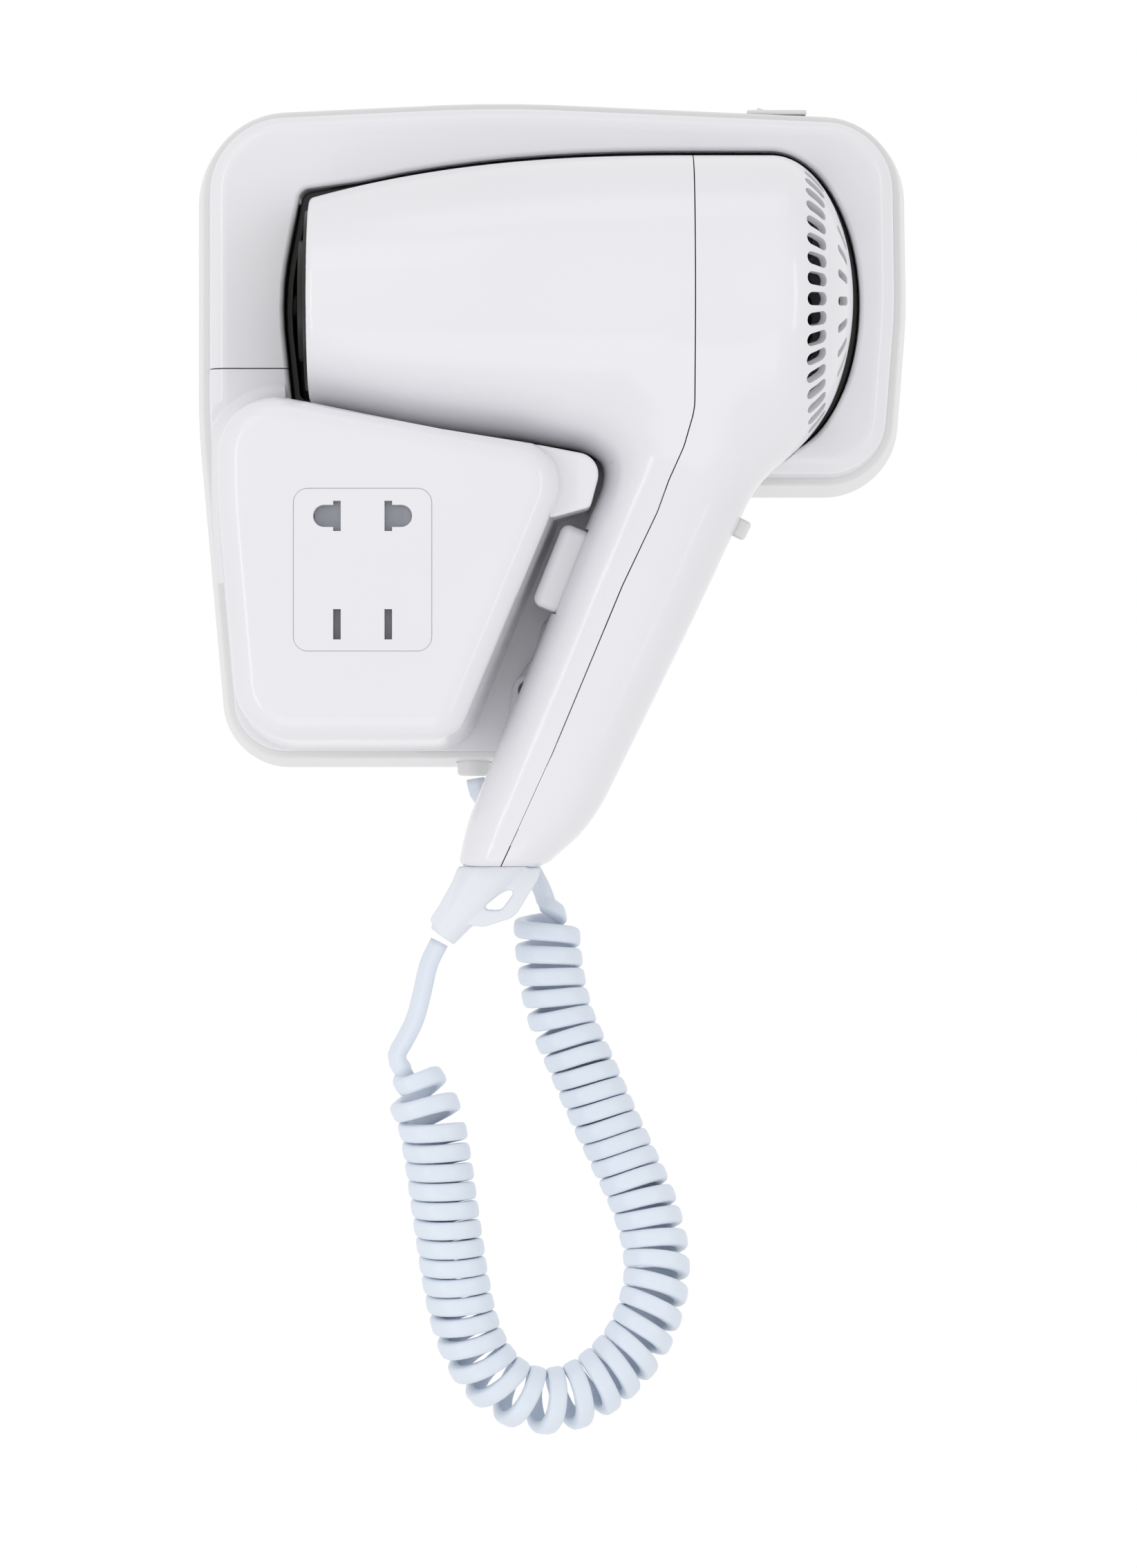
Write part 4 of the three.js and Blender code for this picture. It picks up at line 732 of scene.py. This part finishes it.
def barrel_distance(points):
    """About how far each point lies outside the barrel."""
    x, y, z = points.T
    radius = np.hypot(y - DEPTH, z - AXIS_Z)
    side = (radius - np.where(x > DOME_X, BELLY, barrel_radius(np.minimum(x, DOME_X)))) * 0.98
    along = np.clip((x + 12) / 22, 0, 1) * np.clip((50 - x) / 14, 0, 1)
    below = np.clip((AXIS_Z - z) / np.maximum(radius, 1), 0, 1)
    side -= 1.6 * along ** 2 * (3 - 2 * along) * below ** 6   # the underside dips into the handle
    past = (x - DOME_X) / DOME_LENGTH
    scale = np.sqrt(past ** 2 + (radius / BELLY) ** 2)
    steep = np.sqrt((past / DOME_LENGTH) ** 2 + (radius / BELLY ** 2) ** 2)
    steep = steep / np.maximum(scale, 1e-6)
    dome = (scale - 1) / np.maximum(steep, 1e-6)
    body = np.where(x > DOME_X, dome, side)
    return within([body, LIP_X - x], 1.0)


def handle_distance(points):
    """About how far each point lies outside the handle."""
    x, y, z = points.T
    width, half = handle_size(z)
    across = np.abs(x - front_edge(z) - width / 2) / (width / 2)
    through = np.abs(y - DEPTH) / half
    scale = (across ** OVAL + through ** OVAL) ** (1 / OVAL)
    steep = np.hypot((across / np.maximum(scale, 1e-6)) ** (OVAL - 1) / (width / 2) * 1.06,
                     (through / np.maximum(scale, 1e-6)) ** (OVAL - 1) / half)
    side = (scale - 1) / np.maximum(steep, 1e-6)
    return within([side, FOOT_Z - z, z - 18], 1.8)


def handset_distance(points):
    """The smooth union: the crease is filled by a radius that grows toward the back."""
    a, b = barrel_distance(points), handle_distance(points)
    radius = np.interp(points[:, 0], [16, 28, 46, 58], [11, 11, 13, 12])
    mix = np.maximum(radius - np.abs(a - b), 0) / radius
    return np.minimum(a, b) - mix ** 2 * radius / 4


def settle(points, offset, rounds=7):
    """Moves points onto the surface that lies this far outside the handset's skin."""
    points = points.copy()
    step = 0.02
    for _ in range(rounds):
        value = handset_distance(points) - offset
        slope = np.stack([
            (handset_distance(points + step * axis) - handset_distance(points - step * axis))
            / (2 * step) for axis in np.eye(3)], axis=1)
        length = np.maximum((slope ** 2).sum(1), 0.2)
        points -= slope * (value / length)[:, None]
    return points


# %% Remesh the union and settle it onto the skin
def barrel_solid(less):
    """The barrel, spun from its profile."""
    profile = [(LIP_X + less, 0)] + [(x, float(barrel_radius(x)) - less)
                                     for x in np.linspace(LIP_X + less, DOME_X, 30)]
    profile += [(DOME_X + (DOME_LENGTH - less) * math.sin(math.radians(a)),
                 (BELLY - less) * math.cos(math.radians(a))) for a in range(5, 91, 5)]
    return spun("barrel", [(x, DEPTH, AXIS_Z + r) for x, r in profile],
                (0, DEPTH, AXIS_Z), (1, 0, 0), 96)


def handle_solid(less):
    """The handle: an oval that is raised section by section."""
    bm = bmesh.new()
    first = bmesh.ops.create_circle(bm, cap_ends=True, segments=64, radius=1)["verts"]
    angles = [math.atan2(v.co.y, v.co.x) for v in first]

    def place(verts, z):
        width, half = handle_size(np.array(z))
        for v, a in zip(verts, angles):
            c, s = math.cos(a), math.sin(a)
            v.co = (float(front_edge(z)) + width / 2
                    + (width / 2 - less) * math.copysign(abs(c) ** (2 / OVAL), c),
                    DEPTH + (half - less) * math.copysign(abs(s) ** (2 / OVAL), s), z)

    heights = list(np.linspace(FOOT_Z + less, 18, 34))
    place(first, heights[0])
    rim, verts = [e for e in bm.edges], list(first)
    for z in heights[1:]:
        made = bmesh.ops.extrude_edge_only(bm, edges=rim)["geom"]
        fresh = [g for g in made if isinstance(g, bmesh.types.BMVert)]
        rim = [g for g in made
               if isinstance(g, bmesh.types.BMEdge) and all(v in fresh for v in g.verts)]
        fresh.sort(key=lambda v: min(range(len(verts)),
                                     key=lambda i: (verts[i].co - v.co).length))
        place(fresh, z)
        verts = fresh
    bmesh.ops.contextual_create(bm, geom=rim)
    bmesh.ops.recalc_face_normals(bm, faces=bm.faces)
    return solid("handle", bm)


def add_cells(piece, cell):
    """Adds a remesh into small even cells."""
    remesh = piece.modifiers.new("cells", "REMESH")
    remesh.mode = "VOXEL"
    remesh.voxel_size = cell


def handset_skin(name, less, cell):
    """The handset's closed skin, this far inside its outside."""
    skin = combine(barrel_solid(less + 0.3), "UNION", handle_solid(less + 0.3))
    add_cells(skin, cell)
    mesh = baked(skin)
    bpy.data.objects.remove(skin)
    points = np.empty(len(mesh.vertices) * 3)
    mesh.vertices.foreach_get("co", points)
    points = settle(points.reshape(-1, 3), -less)
    mesh.vertices.foreach_set("co", points.ravel())
    mesh.update()
    made = in_scene(name, mesh)
    print(name, len(mesh.vertices), "points, largest miss",
          round(float(np.abs(handset_distance(points) + less).max()), 3), "mm")
    return made


outside_skin = handset_skin("outside_skin", 0, 0.95)
inside_skin = handset_skin("inside_skin", 2.0, 1.5)

# %% [markdown]
# ## Handset: air slots, openings and the two halves
# Air comes in through two rings of slots round the dome, and goes out at the open nozzle. The
# shell is cut in two along its parting line with a hairline between the halves. The slots lean,
# so that the ring looks like a turbine.

# %% Cutters for the openings
def dome_point(degrees):
    """A point of the dome's profile: x, and distance off the axis."""
    angle = math.radians(degrees)
    return DOME_X + DOME_LENGTH * math.sin(angle), BELLY * math.cos(angle)


def slot_cutter(count, start, angles, width):
    """A ring of round-ended slots through the dome."""
    (x0, r0), (x1, r1) = dome_point(angles[0]), dome_point(angles[1])
    length, tilt = math.hypot(x1 - x0, r0 - r1), math.atan2(x1 - x0, r0 - r1)
    ring = bmesh.new()
    for i in range(count):
        bm = bmesh.new()
        half, run = width / 2, length / 2 - width / 2
        end = run + half
        corners = [(-half, -run - half), (half, -run - half), (half, end), (-half, end)]
        verts = [bm.verts.new((5, a, b)) for a, b in corners]
        bm.faces.new(verts)
        bmesh.ops.bevel(bm, geom=verts, offset=half * 0.99, offset_type="OFFSET",
                        affect="VERTICES", segments=5, profile=0.5, material=-1)
        thickened(bm, (-10, 0, 0))
        place = (Matrix.Translation((0, DEPTH, AXIS_Z))
                 @ Matrix.Rotation(math.tau * (i + start) / count, 4, "X")
                 @ Matrix.Translation(((x0 + x1) / 2, 0, (r0 + r1) / 2))
                 @ Matrix.Rotation(-tilt, 4, "Y"))
        bmesh.ops.transform(bm, matrix=place, verts=bm.verts)
        mesh = bpy.data.meshes.new("slot")
        bm.to_mesh(mesh)
        bm.free()
        ring.from_mesh(mesh)
        bpy.data.meshes.remove(mesh)
    return solid("slots", ring)


def bar(start, end, radius, segments=48, end_radius=None):
    """A round bar between two points."""
    start, end = Vector(start), Vector(end)
    bm = cylinder(radius, (end - start).length, segments, end_radius)
    turn = (end - start).to_track_quat("Z", "Y").to_matrix().to_4x4()
    bmesh.ops.transform(bm, matrix=Matrix.Translation((start + end) / 2) @ turn, verts=bm.verts)
    return solid("bar", bm)


def axle(x0, x1, radius, segments):
    """A round bar on the barrel's axis."""
    return bar((x0, DEPTH, AXIS_Z), (x1, DEPTH, AXIS_Z), radius, segments)


def face_point(lean, origin, into, up):
    """A point measured from a face of the handle: into the handle, and up along the face."""
    angle = math.atan(lean)
    return (origin[0] + math.cos(angle) * into + math.sin(angle) * up, DEPTH,
            origin[1] - math.sin(angle) * into + math.cos(angle) * up)


def on_face(bm, lean, origin, into, up):
    """Puts a bmesh on the handle's front or rear face, x into the handle and z up along it."""
    place = (Matrix.Translation(face_point(lean, origin, into, up))
             @ Matrix.Rotation(math.atan(lean), 4, "Y"))
    bmesh.ops.transform(bm, matrix=place, verts=bm.verts)
    return bm


def face_block(lean, origin, into, half, up, rounded=0, segments=4):
    """A block on a face of the handle, with rounded edges if wished."""
    bm = cube((into[1] - into[0], 2 * half, up[1] - up[0]))
    if rounded:
        soften(bm, rounded, segments)
    return solid("block", on_face(bm, lean, origin, sum(into) / 2, sum(up) / 2))


ROOT_WIDTH, REAR_LEAN, SELECTOR_DROP = 38.6, 0.485, 8.2
FRONT = (ROOT_X, ROOT_Z)
REAR = (ROOT_X + ROOT_WIDTH - REAR_LEAN * SELECTOR_DROP, ROOT_Z - SELECTOR_DROP)
PARTING = [(36.2, 90), (36.2, 2), (33.6, -7), (29.9, -15.2), (27.1, -23), (18.4, -41.3),
           (9.7, -62.2), (1.0, -83.1), (-7.7, -102.3), (-16.5, -121)]


def parting_tool(side):
    """Everything on one side of the parting line, with rounded bends in the line."""
    edge = [(x + side * 0.15, z, 14) if 0 < i < len(PARTING) - 1 else (x + side * 0.15, z)
            for i, (x, z) in enumerate(PARTING)]
    if side < 0:
        corners = [(-130, -121), *reversed(edge), (-130, 90)]
    else:
        corners = [*edge, (130, -121), (130, 90)]
    return solid("parting", thickened(flat_face(corners, 5), (0, -105, 0)))


# %% Cut the shell and split it
FOOT_X = ROOT_X + LEAN * (FOOT_Z - ROOT_Z)
BOOT_X = FOOT_X + 12.5
shell = combine(outside_skin, "DIFFERENCE", inside_skin,
                axle(NOZZLE_X - 6, NOZZLE_X + 6, 23, 72),
                bar((BOOT_X, DEPTH, FOOT_Z - 6), (BOOT_X, DEPTH, FOOT_Z + 6), 4.6),
                face_block(LEAN, FRONT, (-8, 6), 7.9, (-32.4, -9.6)),
                face_block(REAR_LEAN, REAR, (-6, 8), 3.4, (-10.9, 2.9)))
print("shell", len(shell.data.polygons), "faces")
rear_half = in_scene("rear_half", shell.data.copy())
shell.name, rear_half.name = "front_housing_smooth", "rear_housing_smooth"
combine(shell, "INTERSECT", parting_tool(-1))
combine(rear_half, "INTERSECT", parting_tool(1))
combine(rear_half, "DIFFERENCE", slot_cutter(40, 0.38, (22.5, 38.5), 3.3),
        slot_cutter(20, 0.25, (50.8, 64), 2.2))
for half, node in ((shell, "front_housing"), (rear_half, "rear_housing")):
    complete(half, white_plastic, "handset", "white_plastic", node, weighted=False)

# %% [markdown]
# ## Upper shell
# The plate round the opening. It is raised from the same outline as the back shell, so the two
# meet all round. A skin a little larger than the handset is cut from it last, so that it clears
# the wide blend at the back of the handle.

# %% Make the upper shell
SEAM_Z = 14.6            # where it meets the box cover
upper_shell = solid("upper_shell_smooth", raised(
    grown(back_corners, -4), 22.05, [(0.7, 11.15), *edge_round(4.8, 7)]))
hollow = solid("hollow", raised(grown(back_corners, -6.4), 20, [(0.6, 13), (3, 2.8)]))
combine(hollow, "DIFFERENCE", solid("band", raised(cradle_outline(2.6), 10, [(0, 40)])))
combine(upper_shell, "DIFFERENCE", hollow, cradle_tool(1.3), slab(-100, 0, 0, 100, -100, SEAM_Z),
        slab(-50, 53, 0, 100, -100, 0), handset_skin("clearance", -0.9, 1.4))
complete(upper_shell, white_plastic, "holder", "white_plastic", "upper_shell")

# %% [markdown]
# ## Trigger, selector and the rocker switch
# Small moulded parts are blocks with every edge rounded. The rounding is what catches the
# light at this size, so none of them keeps a sharp edge.

# %% Make the moving buttons
trigger = face_block(LEAN, FRONT, (-5.5, 6.4), 7.4, (-31.9, -10.1), rounded=2.2, segments=6)
spring_bore = bar(face_point(LEAN, FRONT, -1, -21), face_point(LEAN, FRONT, 9, -21), 2.5, 40)
combine(trigger, "DIFFERENCE", spring_bore)
trigger.name = "trigger_smooth"
complete(trigger, white_plastic, "trigger", "white_plastic", "trigger")

selector = face_block(REAR_LEAN, REAR, (-2.9, 3.2), 2.9, (-2.4, 2.4), rounded=1.0, segments=5)
combine(selector, "UNION",
        face_block(REAR_LEAN, REAR, (-4.2, -2.72), 4.9, (-4.4, 4.4), rounded=0.3))
selector.name = "selector_smooth"
complete(selector, rim_plastic, "selector", "grey_white_plastic", "selector_slider")

SWITCH_X, SWITCH_DEPTH, PIVOT_Z, SEAT_Z = 58.4, 11, 81.2, 80.9
bezel = cube((15.3, 11.5, 1.2))
soften(bezel, 0.4, 3)
placed(bezel, (SWITCH_X, -SWITCH_DEPTH, SEAT_Z + 0.78))
bezel = combine(solid("switch_bezel", bezel), "UNION",
                slab(SWITCH_X - 6.45, SWITCH_X + 6.45, SWITCH_DEPTH - 4.55, SWITCH_DEPTH + 4.55,
                     71, 82))
combine(bezel, "DIFFERENCE", bar((SWITCH_X, -SWITCH_DEPTH - 3.8, PIVOT_Z),
                                 (SWITCH_X, -SWITCH_DEPTH + 3.8, PIVOT_Z), 6.1, 64))
complete(bezel, rim_plastic, "holder", "grey_white_plastic", "main_switch_body")

rocker = thickened(flat_face(
    [(-4.4, -2.4), (4.4, -2.4), (5.2, 1.25), (0, 0.45), (-5.2, 1.25)], 3.45), (0, -6.9, 0))
soften(rocker, 0.35, 4)
placed(rocker, (SWITCH_X, -SWITCH_DEPTH, PIVOT_Z), 8, "Y")
complete(solid("rocker_smooth", rocker), white_plastic, "rocker", "white_plastic",
         "main_switch_rocker")

# %% [markdown]
# ## Strain relief and grommet
# The strain relief is soft vinyl: a cone round the lead, and a flat hanging loop beside it. The
# forms are joined and remeshed, then smoothed, which melts them together as soft vinyl does.

# %% Make the soft parts
def soft(piece, cell, rounds):
    """Remeshes a piece into small cells and relaxes it."""
    add_cells(piece, cell)
    relax = piece.modifiers.new("relax", "SMOOTH")
    relax.factor = 0.5
    relax.iterations = rounds
    mesh = baked(piece)
    piece.modifiers.clear()
    piece.data = mesh
    return piece


def flat_piece(corners, thick):
    """A flat plate of this outline round the barrel's own depth."""
    return solid("flat", raised(corners, AXIS_DEPTH - thick / 2, [(0, thick)]))


loop_outline = [(22.9, -0.3), (22.3, -3.1, 3), (16.3, -12.9, 5), (8.5, -15.4, 4), (2.9, -14.6, 1),
                (-0.3, -17.8, 1), (-5.3, -13.8, 1), (-3, -10.4, 2), (0.6, -4, 4), (2, -0.3)]
loop_eye = [(12.9, -6.8, 1.5), (17.3, -5.2, 1), (12.9, -11.2, 1.6), (7.7, -11, 0.8)]


def at_foot(corners):
    """Corners measured from the handle's foot, counter-clockwise."""
    at = [(FOOT_X + x, FOOT_Z + z, *r) for x, z, *r in corners]
    area = sum(a[0] * b[1] - b[0] * a[1] for a, b in zip(at, at[1:] + at[:1]))
    return at if area > 0 else at[::-1]


relief = flat_piece(at_foot(loop_outline), 7)
combine(relief, "UNION", bar((BOOT_X + 1, DEPTH, FOOT_Z + 4), (FOOT_X - 2, DEPTH, FOOT_Z - 17.8),
                             8.2, 48, 3.6))
combine(relief, "DIFFERENCE", slab(-60, 20, 20, 80, FOOT_Z - 0.06, FOOT_Z + 30),
        flat_piece(at_foot(loop_eye), 30))
combine(relief, "UNION", bar((BOOT_X, DEPTH, FOOT_Z - 1), (BOOT_X, DEPTH, FOOT_Z + 5), 4.3, 40))
relief = soft(relief, 0.4, 5)
relief.name = "strain_relief_smooth"
complete(relief, soft_vinyl, "handset", "soft_white", "strain_relief", sharp=180, weighted=False)

HOLDER_BOTTOM = -86.4
profile = [(0, -2.3), (3.3, -2.3), (4.0, -2.0), (4.2, -1.4), (4.2, 6), (5.6, 6.0), (5.8, 6.2),
           (5.8, 7.8), (5.6, 8), (0, 8)]
profile = [(CORD_X + r, -CORD_DEPTH, HOLDER_BOTTOM + z) for r, z in profile]
grommet = spun("grommet_smooth", profile, (CORD_X, -CORD_DEPTH, 0), (0, 0, 1), 64)
complete(grommet, rim_plastic, "holder", "grey_white_plastic", "cord_grommet")

# %% [markdown]
# ## Outlet grille and screws
# The grille behind the nozzle's mouth is spun rims and thin ribs. Each screw has a domed head
# with a cross recess.

# %% Make the grille
def ring(x0, x1, outer, inner, segments=96):
    """A ring on the barrel's axis."""
    return combine(axle(x0, x1, outer, segments), "DIFFERENCE",
                   axle(x0 - 1, x1 + 1, inner, segments))


grille = ring(NOZZLE_X + 0.3, NOZZLE_X + 5, 22.7, 20.7)
ribs = []
for i in range(4):
    bm = cube((1.4, 1.2, 42.6))
    bmesh.ops.transform(bm, matrix=Matrix.Translation((NOZZLE_X + 1.2, DEPTH, AXIS_Z))
                        @ Matrix.Rotation(math.pi * i / 4, 4, "X"), verts=bm.verts)
    ribs.append(solid("rib", bm))
rim_span = (NOZZLE_X - 1.3, NOZZLE_X + 2.1)
combine(grille, "UNION", ring(*rim_span, 15.2, 13.6), ring(*rim_span, 7.6, 6.2),
        axle(*rim_span, 2, 40), *ribs)
grille.name = "outlet_grille_smooth"
complete(grille, black_plastic, "handset", "black_plastic", "outlet_grille")

# %% Make the screws
steel = finish("steel", srgb(176, 178, 181), 0.3, metallic=1.0, bump=0.1)


def screw(name, x, z, depth, end, head, shank, node):
    """A screw square to the wall with its head at one depth and its end at another."""
    way = 1 if depth > end else -1
    dome = cylinder(head, 1.4)
    rim = [e for e in dome.edges if e.calc_length() < head and all(v.co.z > 0 for v in e.verts)]
    soften(dome, 0.45, 4, rim)
    placed(dome, (x, -(depth - way * 0.7), z), 90 * way)
    made = combine(solid(name, dome), "UNION",
                   peg(x, z, shank, min(end, depth - way), max(end, depth - way), 24))
    low, high = sorted((depth - way * 0.8, depth + way * 0.3))
    combine(made, "DIFFERENCE", slab(x - 1.5, x + 1.5, low, high, z - 0.35, z + 0.35),
            slab(x - 0.35, x + 0.35, low, high, z - 1.5, z + 1.5))
    return complete(made, steel, "holder", "steel", node, sharp=40)


for node, (x, z) in CASE_SCREWS.items():
    screw(node + "_smooth", x, z, 0.25, 14, 2.85, 1.0, node)
screw("trough_screw_smooth", *POST, 26.0, 14.2, 2.3, 1.25, "trough_screw")

# %% [markdown]
# ## Finishes for what lies inside
# The parts inside keep their plain shapes, since little of them can be seen. They still get real
# finishes, because the fan and the screen show through the air slots. The socket's shutters get
# painted shade instead: a grey that stands for their white plastic lying in shade.

# %% Paint the inside
brass = finish("brass", srgb(200, 162, 74), 0.32, metallic=1.0, vary=0.08)
copper = finish("copper", srgb(180, 98, 46), 0.36, metallic=1.0, vary=0.12)
mica = finish("mica", srgb(185, 169, 138), 0.6, vary=0.15, blotch=60)
board = finish("board", srgb(46, 107, 58), 0.5, vary=0.1)
finishes = {
    "white_plastic": white_plastic, "grey_white_plastic": rim_plastic,
    # The grey_plastic slot, the socket's shutters, gets painted shade in place of white plastic.
    "black_plastic": black_plastic, "grey_plastic": shutter_painted_shade, "soft_white": soft_vinyl,
    "cord_white": cord_vinyl, "steel": steel, "brass": brass, "copper": copper, "mica": mica,
    "board": board,
}
with_slot = {part["node"]: part["material_slot"] for part in frame["record"]["subparts"]}
painted = 0
for node, made in frame["nodes"].items():
    slot_name = with_slot.get(node)
    if slot_name in finishes:
        made.data.materials.clear()
        made.data.materials.append(finishes[slot_name])
        painted += 1
print("painted", painted, "of", len(frame["nodes"]))

# %% [markdown]
# ## Light
# Large soft lamps and a pale surround, so that white plastic keeps its shape without burning out.

# %% Lamps and surround
def lamp(name, place, target, size, watts):
    """A rectangular lamp that faces a point."""
    light = bpy.data.lights.new(name, "AREA")
    light.shape = "RECTANGLE"
    light.size, light.size_y = size
    light.energy = watts
    holder = in_scene(name, light)
    holder.location = place
    holder.rotation_euler = (Vector(target) - Vector(place)).to_track_quat("-Z", "Y").to_euler()


lamp("key", (-0.9, -1.3, 1.2), (0, 0, -0.05), (1.0, 0.8), 1.3)
lamp("top", (0.1, -0.35, 1.3), (0, -0.03, 0), (1.2, 0.5), 0.9)
lamp("left strip", (-1.0, -1.05, -0.1), (0, 0, -0.05), (0.07, 1.5), 2.2)
lamp("right strip", (1.1, -1.0, 0.05), (0, 0, 0), (0.07, 1.2), 1.4)
lamp("low", (-0.2, -1.1, -1.1), (0, 0, 0), (1.2, 0.8), 2.0)

world = bpy.data.worlds.new("surround")
bpy.context.scene.world = world
world.use_nodes = True
nodes = world.node_tree.nodes
links = world.node_tree.links
rays = nodes.new("ShaderNodeLightPath")
seen = rays.outputs["Is Camera Ray"]
for kind in ("Is Glossy Ray", "Is Transmission Ray"):
    either = nodes.new("ShaderNodeMath")
    either.operation = "MAXIMUM"
    links.new(seen, either.inputs[0])
    links.new(rays.outputs[kind], either.inputs[1])
    seen = either.outputs[0]
strength = add_node(world.node_tree, "MapRange", To_Min=0.82, To_Max=1.0)
links.new(seen, strength.inputs["Value"])
surround = nodes["Background"]
surround.inputs["Color"].default_value = (1, 1, 1, 1)
links.new(strength.outputs["Result"], surround.inputs["Strength"])

# %% [markdown]
# ## Settings
# The Standard view shows a colour about as it is written.

# %% Finish
bpy.context.scene.view_settings.view_transform = "Standard"
